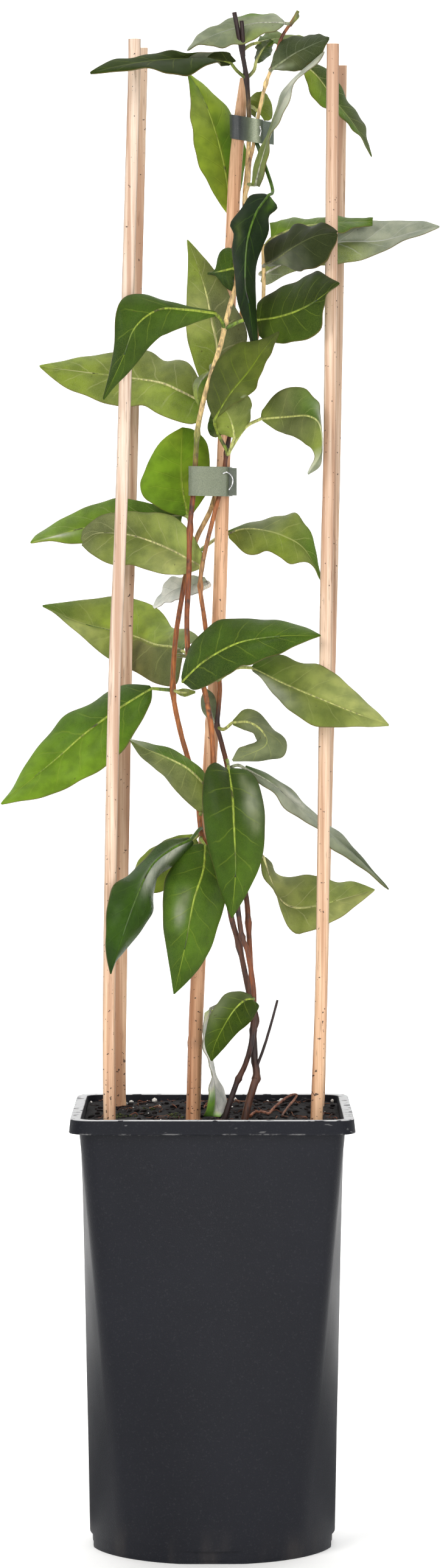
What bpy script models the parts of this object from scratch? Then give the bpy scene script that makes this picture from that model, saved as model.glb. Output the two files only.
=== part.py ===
"""Potted honeysuckle: a climber in a square nursery pot, tied to a cane between four split laths.

The frame is in metres, +Z up, with its origin on the underside of the pot, at the centre.
The front of the plant faces -Y. Leaves and stems grow through hand-read places in the picture
plane, given as (column, row) of the photograph and a depth, the world Y in millimetres.
"""

import math
from collections import namedtuple

import bmesh
import bpy
from mathutils import Vector, noise

MM = 0.001

# Pot, driving dimensions
POT_HEIGHT = 205 * MM
POT_HALF_TOP = 61.5 * MM
POT_HALF_BASE = 57.5 * MM
POT_CORNER_TOP = 8 * MM
POT_WALL = 1.2 * MM
POT_FLOOR = 1.6 * MM
LIP_HALF = 65 * MM
LIP_FLARE = 0.6 * MM
LIP_HEIGHT = 6.5 * MM
LIP_CORNER = 10 * MM
BASE_NOTCH_HALF = 55.7 * MM
BASE_NOTCH_HEIGHT = 6 * MM
DRAIN_RADIUS = 4.5 * MM
DRAIN_CIRCLE = 36 * MM
DRAIN_COUNT = 8
CORNER_STEPS = 3
SIDE_STEPS = 3
CREASE_SPREAD = math.radians(7)
DRAIN_SIDES = 10
LIP_TOP_THICKNESS = 1.5 * MM
OUTSIDE_RINGS = (0, 0.4, 0.7)
INSIDE_RINGS = (0.7, 0.4)

# Soil
GAP = 0.3 * MM
SOIL_TOP = 199.2 * MM
SOIL_RELIEF = 1.6 * MM
SOIL_RINGS = 6
SOIL_SIDE_RINGS = (0.4, 0.7)
LUMPS_PER_METRE = (90, 210)
LUMP_SHARES = (0.65, 0.35)
LUMP_SHIFT = Vector((3, 1, 5))
HILL_HEIGHT = 1.5 * MM
HILL_REACH = 30 * MM

# Sticks
STICK_LENGTH = 600 * MM
LATH_WIDTH = 5.7 * MM
LATH_THICKNESS = 3.6 * MM
CANE_RADIUS_LOW = 3.5 * MM
CANE_RADIUS_TOP = 3.0 * MM
CANE_TIP_LENGTH = 26 * MM
FOOT_SHARE = 0.85
LATH_OUTLINE = ((-1, -1), (1, -1), (1, 0.3), (0.55, 0.9), (0, 1.05), (-0.55, 0.9), (-1, 0.3))
CANE_SIDES = 10
CANE_TIP_RADII = (1.3 * MM, 2.1 * MM)
CANE_TIP_MIDDLE = 0.55
HOLE_RISE = 30 * MM

# Leaves and stems
BLADE_THICKNESS = 0.8 * MM
BLADE_STATIONS = 7
BLADE_BOW = 0.10
BLADE_WAVE = 0.9 * MM
BLADE_WAVES = 2.5
PETIOLE_RADIUS = 0.8 * MM
SHORTEST_STALK = 2 * MM
STALK_TAPER = (1.1, 0.6)
RIB_SHARE = 1 / 3
FEWEST_RIB_POINTS = 3
AHEAD = 0.05
EDGE_FULLNESS = 0.6
LEAF_PHASE = 1.7
NODE_SWELL = 1.35
STEM_HOLE_POINTS = 4
TIE_THICKNESS = 0.7 * MM
FLAP_HEIGHT = 0.93
DRY_ROOT_LIFT = 0.75 * MM
STAPLE_RADIUS = 0.35 * MM

# Where the photograph was taken from
LENS_PIXELS = 7790
PICTURE_CENTRE = (361.5, 1288.0)
CAMERA = Vector((0.00356, -2.22, 0.4244))
CAMERA_PITCH = math.radians(1.75)


def seen(column, row, depth):
    """The world point on the sight line through a place in the picture, at world Y = depth mm."""
    forward = Vector((0, math.cos(CAMERA_PITCH), -math.sin(CAMERA_PITCH)))
    up = Vector((0, math.sin(CAMERA_PITCH), math.cos(CAMERA_PITCH)))
    right = Vector((1, 0, 0))
    ray = (
        forward
        + right * ((column - PICTURE_CENTRE[0]) / LENS_PIXELS)
        - up * ((row - PICTURE_CENTRE[1]) / LENS_PIXELS)
    )
    return CAMERA + ray * ((depth * MM - CAMERA.y) / ray.y)


# A leaf: its blade's midrib from base to tip as (column, row, depth), the outlines of the half on
# the left and the half on the right of a walker from base to tip seen from the front, the depth
# in mm by which each edge lies behind the midrib at its widest. Its stalk grows from a stem through
# the places in stalk.
Leaf = namedtuple("Leaf", "stalk midrib left right behind")

# A stem: its centre line as (column, row, depth), its radii in mm at the start and the end, and
# the indices of the points where it has a node.
Stem = namedtuple("Stem", "line radii nodes")

# Leaves on the shoot that rises from the stem at the left (A)
LEAVES_A = {
    "top": Leaf([(474, 38, -14)],
        [(468, 38, -15), (423, 39, -22), (380, 49, -30), (340, 64, -36), (308, 83, -40)],
        [(466, 42), (452, 52), (425, 57), (403, 73), (364, 76), (330, 74), (308, 84)],
        [(467, 34), (450, 22), (425, 25), (377, 29), (345, 48), (325, 58), (307, 82)],
        (-6, 9)),
    "top_right": Leaf([(444, 116, -14)],
        [(448, 113, -16), (481, 91, -22), (511, 76, -27), (541, 63, -30)],
        [(446, 107), (455, 74), (476, 63), (497, 58), (522, 57), (541, 61)],
        [(452, 115), (481, 117), (504, 110), (520, 96), (532, 80), (541, 65)],
        (10, -4)),
    "far_right_top": Leaf([(446, 114, -10), (475, 102, 0)],
        [(502, 108, 6), (524, 130, 10), (548, 165, 14), (580, 205, 10), (611, 257, 2)],
        [(508, 100), (534, 112), (560, 145), (585, 182), (600, 215), (611, 256)],
        [(499, 120), (510, 152), (528, 172), (556, 190), (584, 214), (602, 244), (610, 258)],
        (8, -8)),
    "twisted_right": Leaf([(408, 303, -14)],
        [(420, 304, -19), (429, 270, -26), (444, 222, -31), (469, 160, -34), (494, 123, -33),
          (533, 85, -32)],
        [(413, 304), (417, 278), (424, 255), (440, 222), (449, 200), (456, 182), (464, 158), (477, 134),
        (496, 118), (516, 102), (533, 84)],
        [(427, 307), (432, 292), (436, 268), (442, 246), (448, 222), (459, 200), (466, 182), (474, 160),
        (488, 134), (501, 121), (520, 106), (534, 85)],
        (10, -6)),
    "centre_dark": Leaf([(420, 226, -12), (434, 268, -16), (448, 312, -24)],
        [(441, 321, -30), (420, 352, -38), (406, 400, -44), (403, 466, -46), (410, 505, -44),
          (421, 596, -38)],
        [(447, 327), (456, 342), (442, 356), (442, 378), (432, 405), (421, 440), (421, 500),
          (424, 555), (423, 596)],
        [(430, 318), (411, 321), (398, 340), (378, 369), (384, 385), (381, 410), (386, 455),
          (390, 495), (405, 540), (420, 597)],
        (6, 6)),
    "right_upper": Leaf([(433, 437, -12)],
        [(437, 434, -20), (454, 426, -28), (489, 403, -40), (520, 388, -48), (553, 383, -54)],
        [(436, 430), (437, 399), (474, 381), (491, 367), (510, 372), (528, 366), (545, 372), (555, 380)],
        [(444, 438), (466, 436), (489, 445), (523, 439), (540, 420), (552, 400), (555, 386)],
        (10, -6)),
    "right_bright": Leaf([(433, 432, -8), (436, 405, -6)],
        [(445, 392, -4), (490, 374, 0), (555, 366, 8), (612, 364, 10)],
        [(443, 366), (480, 360), (530, 358), (575, 359), (613, 357)],
        [(450, 402), (500, 392), (540, 384), (580, 376), (612, 371)],
        (14, -8)),
    "right_silver": Leaf([(431, 446, -10), (427, 450, -4)],
        [(430, 452, -2), (490, 422, 4), (555, 399, 10), (625, 397, 12), (678, 383, 8), (722, 372, 0)],
        [(434, 440), (490, 395), (571, 372), (625, 362), (660, 362), (690, 363), (722, 371)],
        [(428, 462), (440, 468), (484, 445), (555, 434), (600, 423), (630, 415), (665, 396), (722, 374)],
        (8, -8)),
    "centre_olive": Leaf([(374, 742, -20), (358, 712, -26)],
        [(352, 690, -34), (380, 646, -40), (410, 610, -46), (436, 572, -48), (459, 546, -46)],
        [(348, 684), (340, 655), (344, 628), (353, 604), (372, 576), (395, 562), (425, 560), (458, 544)],
        [(358, 686), (376, 670), (411, 647), (426, 624), (440, 590), (459, 548)],
        (8, -2)),
    "centre_small": Leaf([(376, 745, -20)],
        [(385, 719, -26), (382, 700, -30), (374, 680, -34), (360, 662, -36)],
        [(380, 718), (360, 712), (352, 702), (352, 688), (358, 662)],
        [(392, 718), (404, 700), (412, 688), (411, 655), (395, 648), (362, 660)],
        (4, 6)),
    "right_curl": Leaf([(376, 742, -20), (402, 703, -24)],
        [(429, 688, -28), (473, 685, -36), (508, 684, -50), (526, 700, -54), (528, 742, -53),
          (506, 779, -50)],
        [(431, 674), (447, 653), (465, 640), (495, 636), (514, 652), (526, 668), (529, 720),
          (528, 762), (507, 780)],
        [(432, 692), (457, 709), (484, 718), (502, 730), (512, 738), (516, 752), (505, 777)],
        (5, 2)),
    "left_olive": Leaf([(329, 963, -20)],
        [(330, 930, -16), (308, 918, -12), (282, 904, -6), (244, 888, 2), (208, 878, 8),
          (160, 876, 12), (136, 890, 12)],
        [(326, 936), (295, 945), (257, 940), (219, 930), (183, 927), (152, 912), (134, 896)],
        [(333, 909), (313, 874), (284, 848), (244, 841), (208, 841), (165, 848), (138, 868), (133, 886)],
        (-8, 3)),
    "left_small_silver": Leaf([(332, 968, -14), (344, 962, -4)],
        [(342, 956, 0), (318, 962, 4), (285, 972, 6), (252, 998, 8)],
        [(344, 962), (319, 976), (290, 984), (254, 1000)],
        [(336, 948), (310, 946), (281, 950), (262, 975), (251, 996)],
        (-6, 6)),
    "right_mid": Leaf([(332, 902, -16), (345, 892, -4), (360, 882, 6)],
        [(375, 877, 8), (398, 870, 8), (429, 871, 6), (467, 882, 2), (500, 903, -2), (527, 952, -6)],
        [(374, 872), (403, 860), (434, 855), (462, 848), (485, 841), (500, 859), (515, 889), (528, 950)],
        [(376, 884), (403, 909), (423, 908), (445, 908), (474, 924), (508, 925), (526, 953)],
        (8, -8)),
    "right_low": Leaf([(360, 1116, -20), (388, 1098, -28)],
        [(413, 1097, -32), (467, 1124, -42), (530, 1150, -54), (590, 1174, -58), (639, 1192, -56)],
        [(419, 1089), (457, 1076), (487, 1087), (525, 1091), (551, 1109), (582, 1134), (612, 1162),
          (639, 1190)],
        [(416, 1104), (429, 1114), (451, 1142), (472, 1165), (500, 1183), (531, 1194), (575, 1195),
          (638, 1193)],
        (8, -6)),
    "centre_curl": Leaf([(357, 1194, -20), (368, 1198, -22)],
        [(382, 1187, -26), (410, 1187, -34), (433, 1204, -40), (434, 1226, -40), (382, 1249, -36)],
        [(384, 1182), (402, 1166), (425, 1170), (453, 1202), (471, 1220), (466, 1243), (440, 1249),
          (383, 1251)],
        [(384, 1192), (402, 1200), (417, 1206), (421, 1218), (394, 1228), (381, 1248)],
        (6, 4)),
    "centre_node": Leaf([(357, 1192, -18)],
        [(350, 1184, -17), (344, 1162, -16), (338, 1132, -16)],
        [(343, 1182), (332, 1168), (330, 1148), (337, 1131)],
        [(353, 1182), (357, 1165), (352, 1142), (339, 1131)],
        (3, 3)),
    "right_twisted_low": Leaf([(374, 1263, -22), (390, 1257, -24)],
        [(402, 1262, -26), (447, 1289, -26), (484, 1322, -22), (521, 1350, -16), (545, 1373, -12),
          (592, 1415, -12), (639, 1461, -16)],
        [(404, 1257), (443, 1273), (489, 1309), (519, 1337), (544, 1359), (591, 1404), (639, 1460)],
        [(402, 1268), (430, 1290), (455, 1306), (478, 1336), (522, 1365), (545, 1390), (593, 1426),
          (638, 1462)],
        (10, -10)),
    "front_hanging": Leaf([(374, 1250, -22)],
        [(376, 1266, -30), (382, 1310, -42), (385, 1368, -48), (387, 1432, -50), (381, 1508, -46)],
        [(382, 1262), (407, 1266), (425, 1289), (435, 1330), (435, 1370), (433, 1398), (425, 1429),
          (406, 1468), (382, 1508)],
        [(370, 1262), (353, 1253), (338, 1266), (332, 1304), (334, 1342), (341, 1388), (351, 1424),
          (364, 1470), (380, 1508)],
        (6, 6)),
    "right_low_light": Leaf([(388, 1440, -24), (402, 1412, -26), (420, 1400, -24)],
        [(433, 1408, -22), (445, 1448, -22), (465, 1483, -22), (498, 1492, -20), (560, 1478, -18),
          (616, 1462, -18)],
        [(437, 1408), (447, 1420), (454, 1433), (470, 1440), (519, 1439), (555, 1448), (585, 1450),
          (616, 1461)],
        [(428, 1412), (434, 1442), (453, 1470), (462, 1500), (484, 1531), (501, 1532), (542, 1518),
          (584, 1488), (615, 1464)],
        (10, -6)),
    "low_small": Leaf([(418, 1640, -26)],
        [(415, 1642, -29), (402, 1644, -32), (385, 1659, -35), (368, 1686, -37), (353, 1717, -37),
          (348, 1743, -36)],
        [(418, 1646), (426, 1652), (421, 1664), (411, 1680), (390, 1697), (373, 1717), (349, 1743)],
        [(412, 1634), (392, 1629), (370, 1633), (358, 1647), (344, 1671), (336, 1712), (346, 1742)],
        (4, 6)),
}

# Leaves on the shoots that rise from the stem at the right (B)
LEAVES_B = {
    "cane_top_light": Leaf([(399, 84, -8), (411, 74, -6)],
        [(424, 70, -4), (445, 66, 0), (470, 63, 4), (500, 62, 6)],
        [(424, 66), (430, 58), (450, 54), (480, 58), (500, 60)],
        [(426, 74), (440, 76), (465, 72), (500, 65)],
        (8, -6)),
    "cane_top_folded": Leaf([(406, 127, -9), (417, 116, -9)],
        [(420, 104, -9), (426, 90, -9), (434, 78, -7), (446, 66, -4)],
        [(418, 104), (420, 88), (424, 72), (444, 64)],
        [(426, 104), (438, 96), (447, 84), (449, 68)],
        (4, 8)),
    "left_long_top": Leaf([(402, 128, -9), (390, 117, -14)],
        [(379, 103, -18), (325, 97, -30), (260, 100, -48), (205, 108, -60), (148, 120, -64)],
        [(376, 108), (364, 108), (354, 104), (309, 121), (276, 121), (227, 114), (149, 122)],
        [(388, 100), (380, 92), (372, 86), (325, 85), (260, 88), (211, 94), (179, 102), (148, 118)],
        (-6, 10)),
    "left_backlit": Leaf([(404, 372, 2), (392, 362, 6)],
        [(380, 350, 8), (366, 262, 10), (345, 190, 10), (325, 145, 8), (308, 120, 6)],
        [(372, 350), (351, 319), (332, 280), (319, 241), (314, 202), (314, 163), (308, 122)],
        [(388, 348), (400, 290), (402, 240), (382, 187), (358, 163), (332, 137), (310, 120)],
        (-6, 8)),
    "tie_rounded": Leaf([(409, 174, -4), (415, 176, 4)],
        [(422, 182, 8), (430, 174, 9), (434, 160, 9), (432, 150, 8)],
        [(420, 194), (410, 184), (409, 164), (420, 152), (431, 150)],
        [(434, 198), (446, 196), (448, 180), (444, 164), (433, 150)],
        (6, 6)),
    "left_dark_small": Leaf([(388, 469, -16), (392, 448, -14)],
        [(383, 441, -14), (370, 444, -15), (356, 447, -15), (341, 450, -14)],
        [(385, 448), (384, 478), (368, 470), (355, 454), (341, 451)],
        [(383, 434), (382, 410), (368, 408), (358, 422), (354, 444), (341, 448)],
        (2, 3)),
    "right_dark": Leaf([(368, 541, -20), (400, 526, -22)],
        [(424, 526, -24), (454, 522, -32), (486, 512, -42), (517, 496, -50), (558, 465, -56)],
        [(422, 510), (425, 495), (454, 478), (494, 457), (523, 446), (538, 454), (557, 464)],
        [(424, 540), (430, 556), (454, 563), (489, 562), (520, 548), (533, 506), (538, 484), (558, 467)],
        (12, -4)),
    "left_tall_light": Leaf([(352, 604, -16), (348, 612, -12)],
        [(344, 620, -10), (356, 575, -12), (348, 529, -12), (337, 475, -9), (322, 429, -5),
          (308, 394, -2)],
        [(338, 622), (328, 621), (314, 581), (306, 541), (306, 495), (309, 437), (307, 395)],
        [(352, 622), (380, 600), (404, 565), (403, 535), (388, 506), (365, 460), (351, 443),
          (328, 414), (309, 394)],
        (-2, 3)),
    "left_folded": Leaf([(368, 540, -20), (364, 526, -24)],
        [(354, 515, -28), (305, 509, -38), (260, 509, -47), (222, 538, -54), (201, 590, -56),
          (170, 656, -54)],
        [(353, 520), (330, 527), (305, 536), (276, 548), (255, 560), (219, 604), (193, 630), (171, 657)],
        [(353, 511), (305, 502), (273, 495), (237, 483), (208, 486), (190, 512), (186, 581), (169, 654)],
        (6, 3)),
    "left_light": Leaf([(340, 650, -18), (336, 656, -12)],
        [(330, 660, -8), (295, 642, -4), (264, 629, 2), (219, 622, 8), (142, 612, 10), (65, 602, 6)],
        [(328, 668), (323, 694), (295, 693), (259, 680), (231, 666), (193, 666), (147, 654),
          (104, 634), (66, 604)],
        [(330, 645), (326, 621), (312, 598), (295, 591), (270, 591), (244, 578), (185, 580),
          (142, 584), (106, 593), (65, 600)],
        (-6, 10)),
    "left_ovate": Leaf([(312, 862, -18), (311, 854, -14)],
        [(308, 845, -6), (300, 800, 2), (298, 752, 6), (300, 702, 8)],
        [(300, 848), (270, 840), (238, 818), (230, 795), (239, 772), (254, 739), (272, 718), (299, 702)],
        [(316, 846), (336, 815), (344, 790), (344, 749), (338, 724), (318, 706), (301, 702)],
        (4, 4)),
    "left_outer": Leaf([(312, 862, -18), (309, 850, -12)],
        [(300, 846, 4), (249, 852, 22), (188, 858, 28), (120, 872, 28), (50, 892, 24)],
        [(298, 862), (249, 880), (188, 890), (130, 892), (75, 890), (51, 893)],
        [(298, 838), (249, 828), (188, 818), (140, 835), (104, 853), (65, 874), (50, 890)],
        (-6, 8)),
    "left_behind_laths": Leaf([(310, 1078, -4), (307, 1074, 8)],
        [(301, 1070, 14), (283, 1063, 24), (255, 1059, 38), (222, 1046, 52), (179, 1035, 62),
          (128, 1022, 68), (70, 995, 68)],
        [(300, 1078), (290, 1122), (260, 1124), (230, 1109), (200, 1094), (170, 1076), (122, 1036),
          (89, 1007), (70, 997)],
        [(305, 1062), (326, 1047), (306, 1034), (283, 1031), (262, 1002), (222, 985), (179, 980),
          (110, 989), (70, 994)],
        (-2, 8)),
    "left_node_bit": Leaf([(284, 1134, -8)],
        [(290, 1136, -10), (303, 1138, -12), (321, 1137, -12)],
        [(291, 1133), (305, 1131), (321, 1135)],
        [(290, 1139), (303, 1145), (321, 1139)],
        (3, 3)),
    "left_low_big": Leaf([(284, 1134, -8)],
        [(250, 1131, -8), (196, 1164, -4), (140, 1205, 0), (97, 1243, 0), (51, 1281, -4), (2, 1321, -10)],
        [(250, 1140), (246, 1158), (219, 1210), (190, 1243), (160, 1268), (133, 1284), (92, 1302),
          (51, 1313), (3, 1322)],
        [(246, 1126), (220, 1124), (199, 1126), (176, 1136), (153, 1156), (110, 1174), (80, 1204),
          (46, 1251), (24, 1290), (1, 1320)],
        (-8, 10)),
    "left_folded_low": Leaf([(327, 1340, -16), (340, 1310, -20)],
        [(338, 1292, -22), (310, 1264, -24), (281, 1248, -26), (245, 1232, -26), (214, 1216, -24)],
        [(336, 1300), (332, 1335), (293, 1304), (270, 1276), (255, 1264), (230, 1241), (214, 1218)],
        [(340, 1284), (334, 1266), (309, 1246), (281, 1229), (255, 1223), (214, 1214)],
        (8, 8)),
    "front_dark": Leaf([(312, 1092, -14), (304, 1108, -22)],
        [(300, 1120, -28), (334, 1088, -34), (378, 1062, -40), (413, 1051, -44), (467, 1045, -48),
          (527, 1044, -50)],
        [(298, 1112), (308, 1070), (324, 1047), (349, 1027), (372, 1017), (421, 1016), (467, 1022),
          (505, 1032), (527, 1043)],
        [(304, 1124), (321, 1134), (352, 1121), (393, 1096), (413, 1093), (454, 1075), (492, 1058),
          (527, 1045)],
        (10, -2)),
    "front_second": Leaf([(330, 1378, -18)],
        [(337, 1389, -24), (334, 1430, -32), (318, 1480, -38), (305, 1550, -40), (286, 1633, -36)],
        [(345, 1388), (366, 1420), (372, 1470), (358, 1524), (340, 1570), (317, 1604), (287, 1633)],
        [(328, 1386), (304, 1394), (285, 1420), (270, 1450), (267, 1500), (271, 1542), (280, 1600),
          (285, 1633)],
        (8, 4)),
    "left_hanging": Leaf([(328, 1362, -18)],
        [(314, 1379, -26), (280, 1396, -36), (248, 1424, -46), (222, 1480, -56), (199, 1545, -60),
          (182, 1600, -58)],
        [(318, 1386), (300, 1410), (263, 1438), (255, 1460), (250, 1495), (240, 1517), (217, 1550),
          (189, 1580), (183, 1600)],
        [(308, 1376), (270, 1382), (240, 1408), (210, 1438), (189, 1453), (176, 1490), (173, 1537),
          (176, 1575), (181, 1600)],
        (10, 2)),
    "left_light_behind": Leaf([(328, 1366, -14)],
        [(322, 1376, -12), (290, 1398, -10), (250, 1425, -8), (212, 1462, -8)],
        [(326, 1384), (320, 1420), (290, 1450), (250, 1468), (213, 1464)],
        [(316, 1370), (290, 1374), (250, 1392), (222, 1425), (211, 1460)],
        (-4, 6)),
    "low_silver": Leaf([(405, 1640, -10), (372, 1646, -10)],
        [(346, 1657, -12), (341, 1700, -14), (345, 1744, -16), (351, 1780, -16), (353, 1810, -16),
          (350, 1834, -16)],
        [(352, 1660), (352, 1700), (350, 1744), (358, 1772), (366, 1792), (372, 1809), (369, 1824),
          (362, 1835)],
        [(336, 1664), (333, 1700), (341, 1740), (345, 1766), (346, 1786), (342, 1812), (337, 1827),
          (334, 1834)],
        (8, -6)),
}

# Stems of the shoot at the left (A): the main one climbs through both ties to the top twig
STEMS_A = {
    "main": Stem([(352, 1975, -19), (358, 1900, -21), (369, 1839, -23), (385, 1790, -23),
        (392, 1772, -23), (403, 1749, -24), (412, 1719, -26), (415, 1690, -26), (417, 1660, -25),
        (416, 1620, -24), (407, 1564, -24), (398, 1540, -24), (392, 1501, -22), (386, 1440, -20),
        (384, 1370, -20), (380, 1310, -20), (374, 1263, -20), (364, 1220, -19), (357, 1194, -18),
        (359, 1164, -18), (361, 1123, -18), (352, 1085, -18), (341, 1050, -18), (335, 1010, -19),
        (329, 963, -20), (334, 920, -19), (344, 876, -18), (357, 826, -16), (366, 790, -15),
        (372, 744, -16), (377, 718, -16), (395, 650, -13), (415, 580, -11), (428, 530, -10),
        (433, 483, -10), (433, 437, -10), (431, 402, -10), (418, 360, -12), (403, 329, -14),
        (408, 303, -14), (410, 268, -13), (416, 241, -12), (426, 182, -11), (437, 137, -12),
        (445, 115, -13), (455, 85, -13), (464, 59, -13), (480, 35, -14), (490, 18, -14)],
        (1.35, 0.8), (4, 11, 18, 24, 29, 38, 43)),
}

# Stems of the shoot at the right (B), with a dead twig and the pruned tips beside the cane's top
STEMS_B = {
    "base": Stem([(398, 1975, -20), (399, 1900, -21), (402, 1839, -22), (417, 1784, -21),
        (421, 1772, -20), (421, 1756, -20), (418, 1740, -19), (417, 1715, -18), (416, 1692, -18),
        (421, 1678, -18), (418, 1662, -18), (411, 1640, -17)], (1.9, 1.5), (4, 8)),
    "left_shoot": Stem([(416, 1655, -18), (409, 1630, -17), (393, 1554, -19), (381, 1511, -24),
        (370, 1450, -27), (358, 1380, -28), (352, 1300, -28), (350, 1240, -27), (346, 1187, -27),
        (335, 1130, -27), (322, 1100, -25), (310, 1078, -22), (307, 1017, -20), (310, 953, -20),
        (312, 871, -19), (317, 815, -18), (322, 761, -18), (326, 713, -18), (331, 682, -18),
        (341, 644, -18), (354, 601, -18), (364, 565, -19), (370, 534, -20), (380, 495, -18),
        (388, 469, -16), (394, 430, -13), (398, 385, -11)], (1.3, 1.0), (2, 14, 17, 22)),
    "back_shoot": Stem([(417, 1660, -17), (413, 1620, -12), (412, 1588, -11), (408, 1516, -11),
        (405, 1477, -11), (394, 1430, -12), (370, 1402, -14), (342, 1388, -16), (331, 1370, -16),
        (327, 1335, -14), (320, 1290, -12), (308, 1243, -10), (296, 1200, -9), (284, 1134, -8),
        (288, 1055, -6), (293, 1017, -5), (302, 963, -4), (306, 943, -3), (322, 887, -1),
        (343, 845, 1), (351, 822, 3), (360, 790, 4), (369, 740, 4), (379, 660, 5),
        (390, 570, 5), (398, 510, 5), (404, 440, 5), (404, 380, 6), (402, 330, 4),
        (407, 268, 0), (409, 230, -3), (409, 190, -4), (405, 129, -7), (394, 67, -9),
        (385, 20, -10)], (1.3, 1.1), (3, 13, 32)),
    "pruned_tip": Stem([(400, 92, -8), (399, 60, -6), (397, 34, -5)], (1.0, 1.0), ()),
    "dead_twig": Stem([(420, 1757, -20), (434, 1720, -21), (446, 1680, -20), (456, 1643, -18)],
        (0.6, 0.45), ()),
}

# Sticks: the centre line of each as (column, row, depth), top to soil
LATHS = {
    "lath_front_left": [(221, 64, -40), (219, 174, -40), (200, 815, -41), (190, 1062, -41),
        (184, 1292, -42), (179, 1657, -42), (180, 1842, -42)],
    "lath_front_right": [(547, 72, -40), (542, 696, -41), (536, 979, -41), (529, 1574, -42),
        (520, 1842, -42)],
    "lath_back_left": [(233, 79, 40), (231, 174, 40), (215, 815, 40), (208, 1062, 40),
        (198, 1657, 42), (197, 1801, 42)],
    "lath_back_right": [(560, 108, 40), (557, 348, 40), (548, 824, 40), (537, 1279, 41),
        (524, 1801, 42)],
}
CANE = [(394, 200, 1), (384, 325, 0), (368, 739, -3), (360, 1004, -5), (348, 1202, -6),
    (325, 1606, -9), (317, 1842, -10)]
CANE_TIP = (399, 128, 2)

# Ties: the loop of the tape as (column, depth) seen at its middle row, the rows of its two edges at
# the loop's left end, how far the tape drops to the right, and the flap's columns and depth
Tie = namedtuple("Tie", "loop rows drop flap flap_depth")
TIES = {
    "tie_upper": Tie([(379, 1), (383, -3), (394, -3.4), (404, -7), (413, -14.6), (421, -15.6),
        (428, -14), (431, -10), (423, -8), (416, 0), (408, 5.6), (394, 6.2), (383, 5)],
        (188, 227), 0.17, (427, 450), -12),
    "tie_lower": Tie([(311, -19), (315, -22), (330, -21), (350, -20), (366, -19.6), (374, -18),
        (380, -10), (380, -1), (374, 5), (360, 8.2), (347, 6), (330, -8), (314, -15)],
        (766, 814), 0.02, (371, 389), -17),
}
STAPLES = {
    "tie_upper_staple": [(427, 207, -16.6), (429, 215, -16.4), (427, 224, -16.6)],
    "tie_lower_staple": [(366, 778, -21), (373, 776, -20.6), (381, 783, -19), (382, 794, -19),
        (376, 805, -20.2)],
}
DRY_ROOT = [(411, 1835, 2), (418, 1828, 12), (430, 1830, 12), (441, 1831, 10), (450, 1820, 14),
    (468, 1805, 22), (482, 1798, 26), (487, 1801, 27), (474, 1818, 20), (466, 1829, 12),
    (464, 1837, 4)]
DRY_ROOT_RADIUS = 0.6 * MM

COLOURS = {
    "pot": ((0.028, 0.031, 0.036), 0.45),
    "soil": ((0.035, 0.018, 0.014), 0.95),
    "lath": ((0.72, 0.52, 0.34), 0.6),
    "cane": ((0.45, 0.24, 0.12), 0.5),
    "plant": ((0.09, 0.17, 0.04), 0.45),
    "tape": ((0.16, 0.19, 0.15), 0.35),
    "wire": ((0.75, 0.76, 0.78), 0.3),
    "root": ((0.35, 0.2, 0.15), 0.8),
}


def start_scene():
    for thing in list(bpy.data.objects):
        bpy.data.objects.remove(thing, do_unlink=True)
    parts = bpy.data.collections.new("potted_honeysuckle")
    cutters = bpy.data.collections.new("cutters")
    bpy.context.scene.collection.children.link(parts)
    bpy.context.scene.collection.children.link(cutters)
    return parts, cutters


def material(name):
    colour, roughness = COLOURS[name]
    found = bpy.data.materials.get(name)
    if found:
        return found
    made = bpy.data.materials.new(name)
    made.use_nodes = True
    shader = made.node_tree.nodes["Principled BSDF"]
    shader.inputs["Base Color"].default_value = (*colour, 1)
    shader.inputs["Roughness"].default_value = roughness
    shader.inputs["Metallic"].default_value = 1.0 if name == "wire" else 0.0
    return made


def mesh_object(name, bm, collection, look=None):
    mesh = bpy.data.meshes.new(name)
    bmesh.ops.recalc_face_normals(bm, faces=bm.faces)
    bm.to_mesh(mesh)
    bm.free()
    made = bpy.data.objects.new(name, mesh)
    collection.objects.link(made)
    if look:
        mesh.materials.append(material(look))
    return made


def evaluated_mesh(thing):
    graph = bpy.context.evaluated_depsgraph_get()
    return bpy.data.meshes.new_from_object(thing.evaluated_get(graph))


def apply_modifiers(thing):
    mesh = evaluated_mesh(thing)
    thing.modifiers.clear()
    thing.data = mesh


def smooth_line(points, steps):
    """A Catmull-Rom curve through the points, with this many steps between each two."""
    ends = [points[0] * 2 - points[1]] + list(points) + [points[-1] * 2 - points[-2]]
    line = []
    for i in range(1, len(ends) - 2):
        a, b, c, d = ends[i - 1 : i + 3]
        for step in range(steps):
            t = step / steps
            line.append(
                0.5 * (2 * b + (c - a) * t + (2 * a - 5 * b + 4 * c - d) * t * t
                + (3 * b - a - 3 * c + d) * t ** 3)
            )
    line.append(points[-1].copy())
    return line


def along(line, share):
    """The point this share of the way along a line, by length."""
    lengths = [(b - a).length for a, b in zip(line, line[1:])]
    left = share * sum(lengths)
    for (a, b), length in zip(zip(line, line[1:]), lengths):
        if left <= length and length > 0:
            return a.lerp(b, left / length)
        left -= length
    return line[-1].copy()


def loft(bm, rings, closed=True):
    """Quads between rings of points, which may be closed round. Returns the rings' vertices."""
    made = [[bm.verts.new(point) for point in ring] for ring in rings]
    for low, high in zip(made, made[1:]):
        count = len(low)
        for i in range(count if closed else count - 1):
            j = (i + 1) % count
            bm.faces.new((low[i], low[j], high[j], high[i]))
    return made


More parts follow.
